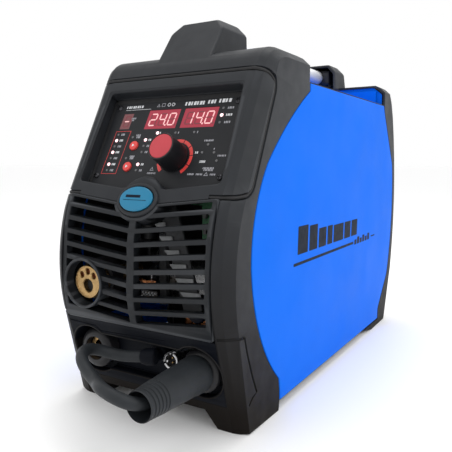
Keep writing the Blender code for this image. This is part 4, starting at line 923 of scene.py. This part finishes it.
# ---------------------------------------------------------------- brass torch socket
def build_torch_socket():
    place = axis_at((EURO_X, 0.0, EURO_Z), (0, -1, 0))
    profile = [(0.0, 0.0020), (0.0160, 0.0020), (0.0168, 0.0017), (0.0172, 0.0009)]
    for i in range(7):
        z = -0.0004 - 0.0019 * i
        profile += [(0.0170, z), (0.0176, z - 0.0005), (0.0176, z - 0.0009), (0.0170, z - 0.0014)]
    profile += [(0.0170, -0.0140), (0.0160, -0.0142), (0.0160, -0.0330), (0.0095, -0.0330),
                (0.0095, -0.0770),
                (0.0, -0.0770)]
    socket = as_object("torch_socket", moved(turned(profile, 64), place), BRASS)

    def hole(x, z, radius, depth):
        rim = ((0.0, 0.03), (radius + 0.0014, 0.03), (radius + 0.0014, 0.0014), (radius + 0.0002, 0.0002),
               (radius, -0.0004), (radius, -depth), (0.0, -depth))
        return moved(turned(rim, 28), place @ Matrix.Translation((x, z, 0.0)))

    pins = [(0.0108 * cos(a), 0.0108 * sin(a)) for a in (radians(d) for d in (40, 90, 140))]
    face = turned(((0.0, 0.02), (0.0150, 0.02), (0.0150, 0.0014), (0.0146, 0.0011), (0.0, 0.0011)), 56)
    carve(socket, moved(face, place), hole(0.0, -0.0040, 0.0064, 0.028),
          *[hole(x, z, 0.0027, 0.016) for x, z in pins])
    settle(socket, replaces=("euro_socket",))
    # Painted shade: a near-black plug a little way inside the centre bore darkens the hole.
    throat = rod(0.0063, -0.0050, -0.0100, 28)
    piece("torch_socket_bore_shade", moved(throat, place @ Matrix.Translation((0.0, -0.0040, 0.0))), SHADOW)
    for i, (x, z) in enumerate(pins):
        sleeve = rod(0.0026, -0.0030, -0.0100, 20)
        piece(f"torch_pin_sleeve_{i + 1}", moved(sleeve, place @ Matrix.Translation((x, z, 0.0))),
              INSULATOR)


# ---------------------------------------------------------------- control plate and what is on it
def on_plate(outline, low=-0.0003, high=-0.00015):
    return prism(outline, low, high)


def frame_outline(outline, width):
    """Thin frame along an outline, as a ring of quads with some thickness."""
    outer, inner = outline, inflate(outline, -width)
    bm = bmesh.new()
    low = [[bm.verts.new((p[0], p[1], -0.0003)) for p in ring] for ring in (outer, inner)]
    high = [[bm.verts.new((p[0], p[1], -0.00015)) for p in ring] for ring in (outer, inner)]
    count = len(outer)
    for i in range(count):
        j = (i + 1) % count
        bm.faces.new((high[0][i], high[0][j], high[1][j], high[1][i]))
        bm.faces.new((low[0][i], low[0][j], low[1][j], low[1][i]))
        bm.faces.new((low[0][i], low[0][j], high[0][j], high[0][i]))
        bm.faces.new((low[1][i], low[1][j], high[1][j], high[1][i]))
    return bm


def slanted(u0, u1, v0, v1):
    lean = WINDOW_SLANT * (v1 - v0) / 2
    return [Vector((u0 - lean, v0)), Vector((u1 - lean, v0)), Vector((u1 + lean, v1)),
            Vector((u0 + lean, v1))]


def word(u, v, count, height, stroke=0.0022, space=0.0008):
    """A row of plain slanted blocks that stands in for a printed word."""
    return [on_plate(slanted(u + i * (stroke + space),
                             u + i * (stroke + space) + stroke * (0.7 + 0.3 * (i % 2)),
                             v - height / 2, v + height / 2)) for i in range(count)]


def bar(u, v, length, height=0.0010):
    return on_plate(rectangle(u - length / 2, u + length / 2, v - height / 2, v + height / 2))


def seven_segments(u, v, height, shown):
    """Lit and unlit hexagonal segments of one digit; shown holds letters a to g."""
    width, stroke, slit = height * 0.56, height * 0.10, height * 0.02
    half = height / 2
    spans = {"a": ((0, 2 * half), (width, 2 * half)), "g": ((0, half), (width, half)),
             "d": ((0, 0), (width, 0)),
             "f": ((0, half), (0, 2 * half)), "e": ((0, 0), (0, half)),
             "b": ((width, half), (width, 2 * half)),
             "c": ((width, 0), (width, half))}
    lit, unlit = [], []
    for letter, (start, end) in spans.items():
        start, end = Vector(start), Vector(end)
        along = (end - start).normalized()
        side = Vector((-along.y, along.x)) * stroke / 2
        start, end = start + along * slit, end - along * slit
        shape = [start, start + along * stroke / 2 + side, end - along * stroke / 2 + side, end,
                 end - along * stroke / 2 - side, start + along * stroke / 2 - side]
        shape = [Vector((u + p.x + SLANT * (p.y - half), v + p.y - half)) for p in shape]
        (lit if letter in shown else unlit).append(shape)
    return lit, unlit


def build_displays():
    places = (("program_display", -0.0605, 0.0656, 0.0125, "-", 0.0),
              ("voltage_display", -0.0120, 0.0662, 0.0136, "240", 0.0122),
              ("speed_display", 0.0347, 0.0662, 0.0136, "140", 0.0122))
    for node, u, v, height, text, pitch in places:
        lit, unlit, dots = [], [], []
        width = height * 0.52
        for i, digit in enumerate(text):
            u_digit = u + (i - (len(text) - 1) / 2) * pitch - width / 2
            on, off = seven_segments(u_digit, v, height, DIGITS[digit])
            lit += on
            unlit += off
            if len(text) > 1:
                dot_u = u_digit + width * 1.38 - SLANT * height / 2
                (lit if i == 1 else unlit).append(circle(dot_u, v - height / 2, 0.0010, 10))
        low, high = -0.0005, -0.0002
        piece(f"{node}_lit", merged([prism(s, low, high) for s in lit]), DIGIT_ON,
              at=AT_PANEL)
        piece(f"{node}_unlit", merged([prism(s, low, high) for s in unlit]), DIGIT_OFF,
              at=AT_PANEL)
        dim = node == "program_display"
        half_u = (0.0068 if dim else 0.0205)
        half_v = (0.0095 if dim else 0.0116)
        glass = on_plate(slanted(u - half_u, u + half_u, v - half_v, v + half_v), -0.0020, -0.0004)
        piece(f"{node}_glass", glass, WINDOW_DIM if dim else WINDOW, at=AT_PANEL,
              replaces=(node,))


def build_plate():
    outline = rounded(rectangle(-0.0865, 0.0865, -0.0168, 0.0935), 0.0030, 3)
    plate = as_object("control_plate_film", prism(outline, -0.0035, -0.0003), PLATE, at=AT_PANEL)
    openings = [prism(slanted(u - hu, u + hu, v - hv, v + hv), -0.02, 0.02)
                for u, v, hu, hv in ((-0.0605, 0.0656, 0.0068, 0.0095), (-0.0120, 0.0668, 0.0205, 0.0116),
                                     (0.0347, 0.0668, 0.0205, 0.0116))]
    openings += [prism(circle(*uv, r, 32), -0.02, 0.02) for uv, r in
                 [(KNOB_UV, 0.0045)] + [(uv, BUTTON_RADIUS + GAP) for uv in BUTTON_UV]]
    carve(plate, *openings, at=AT_PANEL)
    settle(plate, replaces=("control_plate",))

    white, grey, red = [], [], []
    white += word(-0.0665, 0.0833, 8, 0.0030) + [bar(-0.0490, 0.0798, 0.0350, 0.0004)]
    white += word(0.0126, 0.0836, 7, 0.0042, 0.0028, 0.0008) + word(0.0405, 0.0842, 3, 0.0042, 0.0028,
                                                                    0.0008)
    white += word(0.0535, 0.0846, 4, 0.0042, 0.0030, 0.0008)
    grey += [frame_outline([Vector((-0.0245, 0.0818)), Vector((-0.0200, 0.0818)),
                            Vector((-0.0222, 0.0855))], 0.0005),
             frame_outline(rectangle(-0.0180, -0.0135, 0.0818, 0.0858), 0.0005)]
    white += [frame_outline(circle(-0.0085, 0.0838, 0.0021, 18), 0.0006),
              frame_outline(circle(-0.0030, 0.0838, 0.0021, 18), 0.0006)]
    leds = [(-0.0661, 0.0493 - 0.00715 * i, i in (1, 3, 5), 0.0068, 0.0050) for i in range(7)]
    leds += [(-0.0259, v, v in (0.0421, 0.0135), 0.0066, 0.0046) for v in (0.0421, 0.0349, 0.0277, 0.0135,
                                                                           0.0066)]
    leds += [(-0.0445, 0.0456, False, 0.0078, 0.0050), (-0.0445, 0.0206, False, 0.0078, 0.0050)]
    leds += [(-0.0125, 0.0500, True, 0.0042, 0.0020), (0.0108, 0.0496, False, 0.0040, 0.0016),
             (0.0338, 0.0496, False, 0.0046, 0.0020)]
    leds += [(0.0609, v, v == 0.0679, 0.0088, 0.0074) for v in (0.0759, 0.0679, 0.0597)]
    leds += [(0.0547, 0.0353, False, 0.0, 0.0), (0.0501, 0.0266, False, -0.0060, 0.0040),
             (0.0639, 0.0265, False, 0.0, 0.0), (0.0693, 0.0176, False, 0.0, 0.0)]
    on, off = [], []
    for u, v, lit, label_u, label in leds:
        dome = ((-0.0003, 0.0), (0.0002, -0.0002), (0.0004, -0.0007))
        radius = 0.00185 if lit else 0.00145
        (on if lit else off).append(layered(circle(u, v, radius, 16), dome))
        if label:
            target = white if lit or label_u < 0 else grey
            target += word(u + label_u - label / 2, v, max(1, round(label / 0.0019)), 0.0024, 0.0014,
                           0.0004)
    for u, v, count in ((0.0490, 0.0397, 7), (0.0625, 0.0305, 1), (0.0690, 0.0230, 6), (0.0500, 0.0166, 4),
                        (0.0560, 0.0096, 8), (0.0575, 0.0076, 7), (0.0500, 0.0030, 5), (0.0660, 0.0030, 4),
                        (-0.0545, 0.0690, 4), (-0.0535, 0.0668, 2), (0.0400, 0.0030, 5),
                        (-0.0100, 0.0035, 7),
                        (-0.0405, 0.0480, 4), (-0.0400, 0.0228, 4)):
        grey += word(u, v, count, 0.0019, 0.0012, 0.0004)
    grey += [frame_outline([Vector((0.0590, 0.0015)), Vector((0.0640, 0.0015)), Vector((0.0615, 0.0055))],
                           0.0005),
             frame_outline([Vector((-0.0080, 0.0065)), Vector((-0.0030, 0.0065)),
                            Vector((-0.0055, 0.0105))], 0.0005)]
    white += [on_plate(slanted(0.0500 + 0.0014 * i, 0.0510 + 0.0014 * i, 0.0155, 0.0178)) for i in range(5)]
    red.append(frame_outline(slanted(-0.0718, -0.0508, 0.0022, 0.0535), 0.0004))
    start, sweep, segments = -54.0, 282.0, 9
    for i in range(segments):
        first = radians(start + sweep * i / segments + 1.4)
        last = radians(start + sweep * (i + 1) / segments - 1.4)
        angles = [first + (last - first) * k / 8 for k in range(9)]
        outer = [Vector((KNOB_UV[0] + 0.0212 * cos(a), KNOB_UV[1] + 0.0212 * sin(a))) for a in angles]
        inner = [Vector((KNOB_UV[0] + 0.0176 * cos(a),
                         KNOB_UV[1] + 0.0176 * sin(a))) for a in reversed(angles)]
        red.append(on_plate(outer + inner))
    # Painted shadow: near-black strips along the top and left edges of the plate, where the recess lip
    # casts its shadow.
    shade = [on_plate(rectangle(-0.0855, 0.0855, 0.0880, 0.0930)),
             on_plate(rectangle(-0.0858, -0.0822, -0.0120, 0.0878))]
    piece("plate_lip_shadow", merged(shade), SHADOW, at=AT_PANEL)
    piece("white_marks", merged(white), PRINT, at=AT_PANEL)
    piece("grey_marks", merged(grey), GREY_PRINT, at=AT_PANEL)
    piece("red_marks", merged(red), RED_PRINT, at=AT_PANEL)
    piece("lit_lamps", merged(on), LED_ON, at=AT_PANEL)
    piece("unlit_lamps", merged(off), LED_OFF, at=AT_PANEL)


def build_controls():
    at_knob = AT_PANEL @ Matrix.Translation((*KNOB_UV, 0.0))
    profile = [(0.0, KNOB_HEIGHT - 0.0009), (KNOB_RADIUS - 0.0013, KNOB_HEIGHT - 0.0009),
               (KNOB_RADIUS - 0.0012, KNOB_HEIGHT),
               (KNOB_RADIUS - 0.0004, KNOB_HEIGHT - 0.0002), (KNOB_RADIUS, KNOB_HEIGHT - 0.0009),
               (KNOB_RADIUS + 0.0006, KNOB_HEIGHT * 0.5), (KNOB_RADIUS + 0.0013, 0.0030),
               (KNOB_RADIUS + 0.0015, 0.0016),
               (KNOB_RADIUS + 0.0010, 0.0008), (0.0034, 0.0006), (0.0034, 0.0130), (0.0, 0.0130)]
    piece("control_knob_body", turned(profile, 72), BLACK, "control_knob", at_knob,
          ("control_knob",))
    cap = [(0.0, KNOB_HEIGHT + 0.0001), (KNOB_RADIUS - 0.0030, KNOB_HEIGHT + 0.0001),
           (KNOB_RADIUS - 0.0017, KNOB_HEIGHT - 0.0002), (KNOB_RADIUS - 0.0014, KNOB_HEIGHT - 0.0008),
           (0.0, KNOB_HEIGHT - 0.0008)]
    piece("control_knob_cap", turned(cap, 72), CAP_RED, "control_knob", at_knob)
    for name, uv in zip(("upper_button", "lower_button"), BUTTON_UV):
        at_button = AT_PANEL @ Matrix.Translation((*uv, 0.0))
        profile = ((0.0, 0.0016), (BUTTON_RADIUS - 0.0012, 0.0016), (BUTTON_RADIUS - 0.0004, 0.0013),
                   (BUTTON_RADIUS, 0.0007), (BUTTON_RADIUS, -0.0050), (0.0020, -0.0050), (0.0020, -0.0145),
                   (0.0, -0.0145))
        piece(f"{name}_cap", turned(profile, 40), RED_PRINT, name, at_button, (name,))
        arrow = prism(((-0.0013, -0.0018), (0.0019, 0.0), (-0.0013, 0.0018)), 0.0015, 0.00175)
        piece(f"{name}_arrow", arrow, PRINT, name, at_button)
    for i, uv in enumerate(SCREW_UV):
        screw(f"plate_screw_head_{i + 1}", AT_PANEL @ Matrix.Translation((*uv, -0.0002)), 0.0034,
              (f"plate_screw_{i + 1}",))


def screw(name, at, radius, replaces=(), body="casing"):
    """Pan head with a cross recess."""
    dome = [(0.0, radius * 0.62), (radius * 0.35, radius * 0.60), (radius * 0.68, radius * 0.50),
            (radius * 0.90, radius * 0.30), (radius, 0.0), (radius, -0.0002), (0.0, -0.0002)]
    head = as_object(name, turned(dome, 28), DARK_STEEL, at)
    slot = radius * 0.13
    cross = [block((-radius * 0.6, -slot, radius * 0.28), (radius * 0.6, slot, radius)),
             block((-slot, -radius * 0.6, radius * 0.28), (slot, radius * 0.6, radius))]
    carve(head, *cross, at=at)
    settle(head, body, replaces)


def build_badge():
    dome = layered(ellipse(0.0), ((0.0127, -0.0006), (0.0152, 0.0), (0.0160, -0.0004), (0.0165, -0.0014),
                                  (0.0168, -0.0040), (0.01695, -0.0080)))
    piece("badge_dome", dome, TURQUOISE, at=AT_PANEL, replaces=("badge",))
    bars = merged([prism(slanted(-0.0120, 0.0060, BADGE_V + 0.0006, BADGE_V + 0.0034), 0.0167, 0.01705),
                   prism(rectangle(-0.0140, 0.0140, BADGE_V - 0.0022, BADGE_V - 0.0017), 0.0167, 0.01705)])
    piece("badge_bars", bars, DARK_PRINT, at=AT_PANEL)


# ---------------------------------------------------------------- lead and plug
def smooth_route(points, steps):
    """Catmull-Rom curve along the points of a route, eased a little between its two ends."""
    padded = [points[0]] + list(points) + [points[-1]]
    route = []
    for i in range(len(points) - 1):
        p0, p1, p2, p3 = (Vector(p) for p in padded[i:i + 4])
        for step in range(steps):
            t = step / steps
            route.append(0.5 * (2 * p1 + (p2 - p0) * t + (2 * p0 - 5 * p1 + 4 * p2 - p3) * t * t
                                + (3 * p1 - p0 - 3 * p2 + p3) * t ** 3))
    route.append(Vector(points[-1]))
    for _ in range(24):
        middle = [(a + 2 * b + c) / 4 for a, b, c in zip(route, route[1:], route[2:])]
        route = [route[0]] + middle + [route[-1]]
    return route


def build_lead():
    route = [p + DATUM for p in smooth_route(LEAD_ROUTE, 6)]
    lead = as_object("polarity_lead_cable", tube(route, LEAD_RADIUS, 28), RUBBER, IN_ROW, 60)
    settle(lead, replaces=("polarity_lead",), weighted=False)

    mouth, nose = PLUG_Y
    end = LEAD_ROUTE[-1][1] + 0.0004
    inside = [(0.0, end), (0.0085, end), (0.0095, -0.0600), (0.0124, mouth + 0.0060),
              (0.0129, mouth + 0.0014),
              (0.0131, mouth + 0.0002)]
    outside = [(0.0134, mouth), (0.0138, mouth + 0.0005), (0.0140, mouth + 0.0016)]
    for i in range(5):
        y = mouth + 0.0050 + 0.0043 * i
        r = 0.0139 + 0.0003 * i
        outside += [(r, y), (r - 0.0008, y + 0.0004), (r - 0.0008, y + 0.0010), (r + 0.0002, y + 0.0015)]
    outside += [(0.0154, mouth + 0.0300), (0.0163, -0.0330), (0.0170, -0.0120), (0.0171, -0.0040),
                (0.0180, -0.0026), (0.0182, 0.0080), (0.0176, 0.0100), (0.0118, 0.0104), (0.0118, nose),
                (0.0, nose)]
    place = axis_at((SOCKET_X, 0.0, SOCKET_Z), (0, -1, 0))
    plug = as_object("polarity_plug_body", moved(turned([(r, -y) for r, y in inside + outside], 64), place),
                     RUBBER)
    seam = [(SOCKET_X - 0.0132, mouth + 0.001, SOCKET_Z + 0.0040),
            (SOCKET_X - 0.0157, -0.040, SOCKET_Z + 0.0044),
            (SOCKET_X - 0.0166, -0.010, SOCKET_Z + 0.0046), (SOCKET_X - 0.0167, -0.004, SOCKET_Z + 0.0046)]
    carve(plug, tube(seam, 0.0004, 6))
    settle(plug, replaces=("polarity_plug",))


# ---------------------------------------------------------------- side panels, cover, rear, handle
def panel_outline():
    return panel_front_edge() + [Vector((0.1696, PANEL_TOP))] + panel_rear_edge()


def build_panels():
    outline = panel_outline()
    sheet = inflate(outline, -0.0011)
    panel = as_object("right_side_sheet", layered(sheet, ((HALF_W - SHEET, 0.0), (HALF_W - 0.0004, 0.0),
                                                          (HALF_W, -0.0004)), across), BLUE)
    weld(panel, block((0.0980, 0.1780, PANEL_TOP - 0.0023), (HALF_W - 0.0006, 0.4550, PANEL_TOP - 0.0011)))
    settle(panel, replaces=("right_side_panel",))
    # Painted shade: a near-black strip behind the gap round the blue panel keeps the gap dark under any
    # light.
    gap_shade = as_object("right_gap_shade_strip", prism(inflate(outline, 0.0006), HALF_W - 0.0032, HALF_W - 0.0016,
                                              across), SHADOW)
    carve(gap_shade, prism(inflate(outline, -0.0030), 0.05, 0.15, across))
    settle(gap_shade)
    # Painted shade: near-black sheets just inside each side panel darken the inside of the casing.
    for side, name, body in ((1, "right", "casing"), (-1, "left", "wire_door")):
        x0, x1 = sorted((side * 0.1076, side * 0.1086))
        shade_sheet = as_object(f"{name}_lining", prism(inflate(outline, -0.0035), x0, x1, across), SHADOW)
        cuts = [block((-0.2, 0.0, -0.05), (0.2, 0.6, 0.070)), block((-0.2, 0.0, 0.3180), (0.2, 0.6, 0.40))]
        if name == "left":
            middle = sum(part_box("door_latch"), Vector()) / 2 - DATUM
            cuts.append(moved(rod(LATCH_ROOM, -0.05, 0.05),
                              axis_at(middle, (1, 0, 0))))
        carve(shade_sheet, *cuts)
        settle(shade_sheet, body)
    build_side_print()
    corner = rounded([(-0.1045, 0.3375), (0.1045, 0.3375), (0.1045, 0.3540), (0.0915, 0.3648),
                      (-0.0915, 0.3648),
                      (-0.1045, 0.3540)], 0.002, 3)
    piece("cover_rear_end", prism(corner, 0.4672, 0.4684, along_y), BLUE)
    for i, x in enumerate((-0.070, 0.070)):
        screw(f"cover_rear_screw_{i + 1}", AT_DATUM @ axis_at((x, 0.4672, 0.3552), (0, -1, 0)), 0.0036)
        screw(f"cover_front_screw_{i + 1}", AT_DATUM @ axis_at((x, 0.1714, 0.3530), (0, 1, 0)), 0.0034)


def build_side_print():
    """Plain blocks and lines where the side of the machine carries a printed mark."""
    blocks = [rectangle(0.1310, 0.3300, 0.1382, 0.1415), rectangle(0.4112, 0.4300, 0.1390, 0.1408)]
    start = 0.1420
    for i, (width, height) in enumerate(((0.028, 0.031), (0.024, 0.029), (0.024, 0.023), (0.017, 0.023),
                                         (0.036, 0.022), (0.024, 0.022), (0.024, 0.022))):
        blocks.append(slanted(start, start + width, 0.1500, 0.1500 + height))
        start += width + 0.0042
    for i in range(6):
        blocks.append(slanted(0.3345 + 0.0118 * i, 0.3435 + 0.0118 * i, 0.1365,
                              0.1365 + 0.0068 + 0.0030 * (i % 2)))
    marks = [prism(rounded(b, 0.0012, 2), HALF_W - 0.0001, HALF_W + 0.00012, across) for b in blocks]
    piece("side_marks", merged(marks), DARK_PRINT)


def build_inside():
    """What shows through the grille: an air guide with painted light and shade on it, near-black sheets of
    painted shade, boards, a busbar and a capacitor.
    """
    # Painted light and shade: the air guide is a dark grey, and pale plates just below each slat stand in
    # for the light falling through the slats onto it.
    guide = [(-0.0040, 0.2060), (0.0180, 0.2060), (0.0500, 0.0990), (0.0260, 0.0990)]
    piece("air_guide", cushion([Vector(p) for p in guide], -0.0480, -0.0450, 0.0008, forwards),
          GUIDE)
    steps = []
    for i in range(-3, 4):
        x, z = 0.0042 + 0.0066 * i, 0.1600 - 0.0139 * i
        step = [(x, z), (x + 0.0184 + 0.0020 * i, z + 0.0014), (x + 0.0194 + 0.0020 * i, z - 0.0030),
                (x + 0.0040, z - 0.0042)]
        steps.append(prism(rounded(step, 0.0006, 2), 0.0425, 0.0438, along_y))
    piece("air_guide_light_patches", merged(steps), PAINTED_LIGHT)
    # Painted shade: a near-black strip on the bulkhead's front edge and a near-black sheet over its face
    # make the inside read dark through the grille.
    low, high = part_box("bulkhead")
    edge = rectangle(low.x - DATUM.x - 0.0009, high.x - DATUM.x + 0.0009, low.y - DATUM.y - 0.0008,
                     low.y - DATUM.y + 0.0060)
    piece("bulkhead_edge_shade", prism(rounded(edge, 0.0006, 2), low.z - DATUM.z + 0.004,
                                      high.z - DATUM.z - 0.004, upward),
          SHADOW)
    face = rectangle(low.y - DATUM.y + 0.0080, low.y - DATUM.y + 0.1300, low.z - DATUM.z + 0.0060,
                     high.z - DATUM.z - 0.0060)
    sheet_x = high.x - DATUM.x
    piece("bulkhead_face_shade", prism(rounded(face, 0.0030, 3), sheet_x + 0.0001, sheet_x + 0.0005,
                                       across), SHADOW)
    busbar = [(-0.0370, 0.0560, 0.1200), (-0.0350, 0.0520, 0.1232), (-0.0280, 0.0500, 0.1215),
              (-0.0180, 0.0560, 0.1205)]
    piece("busbar", tube(busbar, 0.0024, 8), COPPER)
    piece("grille_board", prism(rectangle(0.0400, 0.0860, 0.1720, 0.2120), 0.0600, 0.0616, along_y), BOARD)
    parts = []
    for i in range(12):
        x = 0.0430 + 0.0068 * (i % 6)
        z = 0.1780 + 0.0160 * (i // 6) + 0.0030 * (i % 3)
        parts.append(block((x, 0.0560 + 0.001 * (i % 3), z),
                           (x + 0.0042, 0.0601, z + 0.0052 + 0.001 * (i % 2))))
    piece("grille_board_parts", merged(parts), CARD)
    parts = []
    for i in range(14):
        x, z = -0.0362 + 0.0014 * i, 0.1040 + 0.0022 * ((i * 5) % 3)
        parts.append(block((x, 0.0530, z), (x + 0.0009, 0.0552, z + 0.0018)))
    piece("terminal_specks", merged(parts), PRINT)
    piece("terminal_board", prism(rectangle(-0.0376, -0.0160, 0.1020, 0.1112), 0.0550, 0.0565, along_y),
          CARD)
    can = turned(((0.0, 0.0), (0.0110, 0.0), (0.0120, 0.0008), (0.0120, 0.0020), (0.0114, 0.0030),
                  (0.0120, 0.0042),
                  (0.0120, 0.0380), (0.0, 0.0380)), 40)
    piece("capacitor_can", moved(can, axis_at((0.0300, 0.0620, 0.0930), (0, 1, 0))), NAVY)


def build_rear():
    run, closing = rear_curve() + [Vector((0.4650, REAR_TOP))], [(0.4650, PANEL_TOP + 0.0010)]
    closing += [(p.x + 0.0009, p.y) for p in panel_rear_edge()[1:]] + [(0.4630, -0.0008), (0.3980, -0.0008),
                                                                       (0.4280, FOOT_Z)]
    backwards = [Vector((-p[0], p[1])) for p in run]
    closing = [Vector((-p[0], p[1])) for p in closing]
    mirror = Matrix.Diagonal((1.0, -1.0, 1.0, 1.0))
    shell = moved(hoop(backwards, closing, REAR_CHAMFER, 0.0, HALF_W, top=1.35), mirror)
    rear = as_object("rear_frame_shell", shell, PLASTIC)
    weld(rear, hump((0.4480, 0.4480, 0.4480), (0.5060, 0.4930, 0.4880), 0.0, 0.3450))
    inner = [p for p in backwards if p.y > FOOT_Z + 0.0230] + [Vector((-0.20, REAR_TOP))]
    inner_closing = [(-0.20, FOOT_Z + 0.0230)]
    cavity = moved(hoop(inner, inner_closing, REAR_CHAMFER, WALL, HALF_W - WALL, share=0.9, top=1.35),
                   mirror)
    hood = hump((0.4300, 0.4300, 0.4300), (0.5030, 0.4900, 0.4850), WALL, 0.3400)
    opening = prism(rounded(rectangle(-0.0900, 0.0900, 0.045, 0.335), 0.008, 5), 0.480, 0.60, along_y)
    tunnel = foot_tunnel(0.38, 0.60)
    carve(rear, cavity, hood, opening, tunnel)
    settle(rear, replaces=("rear_frame",))


def build_handle():
    profile = [(0.0, TUBE_Y[0]), (TUBE_RADIUS - 0.0008, TUBE_Y[0]), (TUBE_RADIUS, TUBE_Y[0] + 0.0008),
               (TUBE_RADIUS, TUBE_Y[1] - 0.0008), (TUBE_RADIUS - 0.0008, TUBE_Y[1]), (0.0, TUBE_Y[1])]
    bm = turned(profile, 64)
    piece("handle_bar", moved(bm, axis_at((0, 0, TUBE_Z), (0, 1, 0))), SATIN,
          replaces=("handle_tube",))


def build_reel():
    """Flanged reel with windows and ribs, and the turns of welding wire between its flanges."""
    low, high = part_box("wire_spool")
    middle = (low + high) / 2
    width, radius = (high.x - low.x) / 2, (high.z - low.z) / 2
    rim, web, drum = width - 0.0002, width - 0.0012, width - 0.0030
    face = [(0.0255, width), (0.0320, width), (0.0326, web), (radius - 0.0060, web), (radius - 0.0054, rim),
            (radius - 0.0008, rim), (radius, rim - 0.0008), (radius, drum), (WINDING_RADIUS - 0.0006, drum)]
    reel = turned(face + [(r, -x) for r, x in reversed(face)], 96)
    place = axis_at(middle, (1, 0, 0))
    shell = as_object("wire_reel", moved(reel, place), REEL, IN_ROW)
    window = rounded([(0.0400, -0.0080), (0.0560, -0.0115), (0.0560, 0.0115), (0.0400, 0.0080)], 0.0040, 4)
    windows = []
    for i in range(6):
        turn = place @ Matrix.Rotation(radians(60 * i), 4, "Z")
        windows.append(moved(prism(window, -width - 0.001, -width + 0.0022), turn))
        windows.append(moved(prism(window, width - 0.0022, width + 0.001), turn))
    carve(shell, *windows, at=IN_ROW)
    settle(shell, "wire_spool", replaces=("wire_spool",))
    ribs = []
    for i in range(12):
        turn = place @ Matrix.Rotation(radians(30 * i + 15), 4, "Z")
        for side in (-1, 1):
            x0, x1 = sorted((side * (web - 0.0004), side * (width - 0.0003)))
            ribs.append(moved(block((0.0322, -0.0007, x0), (radius - 0.0056, 0.0007, x1)), turn))
    piece("reel_ribs", merged(ribs), REEL, "wire_spool", at=IN_ROW)
    half = (high.x - low.x) / 2 - 0.0034
    turns = 38
    profile = [(WINDING_RADIUS - 0.0020, -half)]
    for i in range(turns):
        start = -half + 2 * half * i / turns
        pitch = 2 * half / turns
        profile += [(WINDING_RADIUS, start + 0.1 * pitch), (WINDING_RADIUS + 0.0005, start + 0.5 * pitch)]
    profile.append((WINDING_RADIUS - 0.0020, half))
    piece("wire_winding", moved(turned(profile, 96), axis_at(middle, (1, 0, 0))), WELD_WIRE,
          "wire_spool", at=IN_ROW)


# ---------------------------------------------------------------- other CAD nodes
def give_materials():
    """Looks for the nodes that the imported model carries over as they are."""
    looks = ((BLUE, ("wire_door", "door_sill", "top_cover")),
             (GALVANISED, ("base_tray", "rear_panel", "bulkhead")),
             (BLACK, ("handle_seat", "spool_hub", "fan_frame", "fan_rotor", "mains_gland", "power_switch",
                      "door_latch", "pressure_arm", "tension_knob")),
             (STEEL, ("door_hinge_rod", "encoder", "drive_motor", "drive_roll", "pressure_roll",
                      "gas_valve",
                      "transformer")),
             (GUIDE, ("feeder_plate",)), (ALUMINIUM, ("heatsink",)),
             (BRASS, ("gas_inlet", "wire_inlet_guide")),
             (COPPER, ("output_choke",)), (RED, ("power_rocker",)), (BOARD, ("control_pcb", "main_pcb")))
    for material, nodes in looks:
        for node in nodes:
            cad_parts[node].data.materials[0] = material


# ---------------------------------------------------------------- stage
def build_stage():
    bpy.ops.mesh.primitive_plane_add(size=60.0, location=(0.0, 0.0, 0.0))
    floor = bpy.context.object
    floor.name = "studio_floor"
    material, nodes, links = node_material("pale_floor")
    shader = nodes["Principled BSDF"]
    shader.inputs["Base Color"].default_value = (0.98, 0.98, 0.98, 1.0)
    shader.inputs["Roughness"].default_value = 0.6
    floor.data.materials.append(material)

    world = bpy.data.worlds.new("studio")
    bpy.context.scene.world = world
    world.use_nodes = True
    world.node_tree.nodes["Background"].inputs["Color"].default_value = (1.0, 1.0, 1.0, 1.0)
    world.node_tree.nodes["Background"].inputs["Strength"].default_value = 1.0
    lamps = (("key_lamp", (1.7, -0.4, 1.5), 1.4, 12.0), ("top_lamp", (-0.1, 0.3, 2.2), 1.6, 16.0),
             ("front_lamp", (-0.9, -1.9, 0.9), 1.2, 3.0))
    for name, place, size, power in lamps:
        data = bpy.data.lights.new(name, "AREA")
        data.shape, data.size, data.energy = "SQUARE", size, power
        lamp = bpy.data.objects.new(name, data)
        lamp.location = place
        aim = Vector((0.0, -0.1, 0.2)) - Vector(place)
        lamp.rotation_euler = aim.to_track_quat("-Z", "Y").to_euler()
        bpy.context.scene.collection.objects.link(lamp)


def build_camera():
    data = bpy.data.cameras.new("camera")
    data.lens, data.sensor_width = CAMERA_LENS, CAMERA_SENSOR
    camera = bpy.data.objects.new("camera", data)
    camera.location = CAMERA_PLACE
    camera.rotation_euler = (radians(90.0 - CAMERA_DIP), 0.0, radians(CAMERA_SWING))
    bpy.context.scene.collection.objects.link(camera)
    bpy.context.scene.camera = camera
    bpy.context.scene.view_settings.view_transform = "Standard"


build_camera()
build_stage()
build_lead()
build_front()
build_grille()
build_connectors()
build_power_sockets()
build_signal_socket()
build_lead_gland()
build_torch_socket()
build_plate()
build_displays()
build_controls()
build_badge()
build_panels()
build_inside()
build_rear()
build_handle()
build_reel()
give_materials()
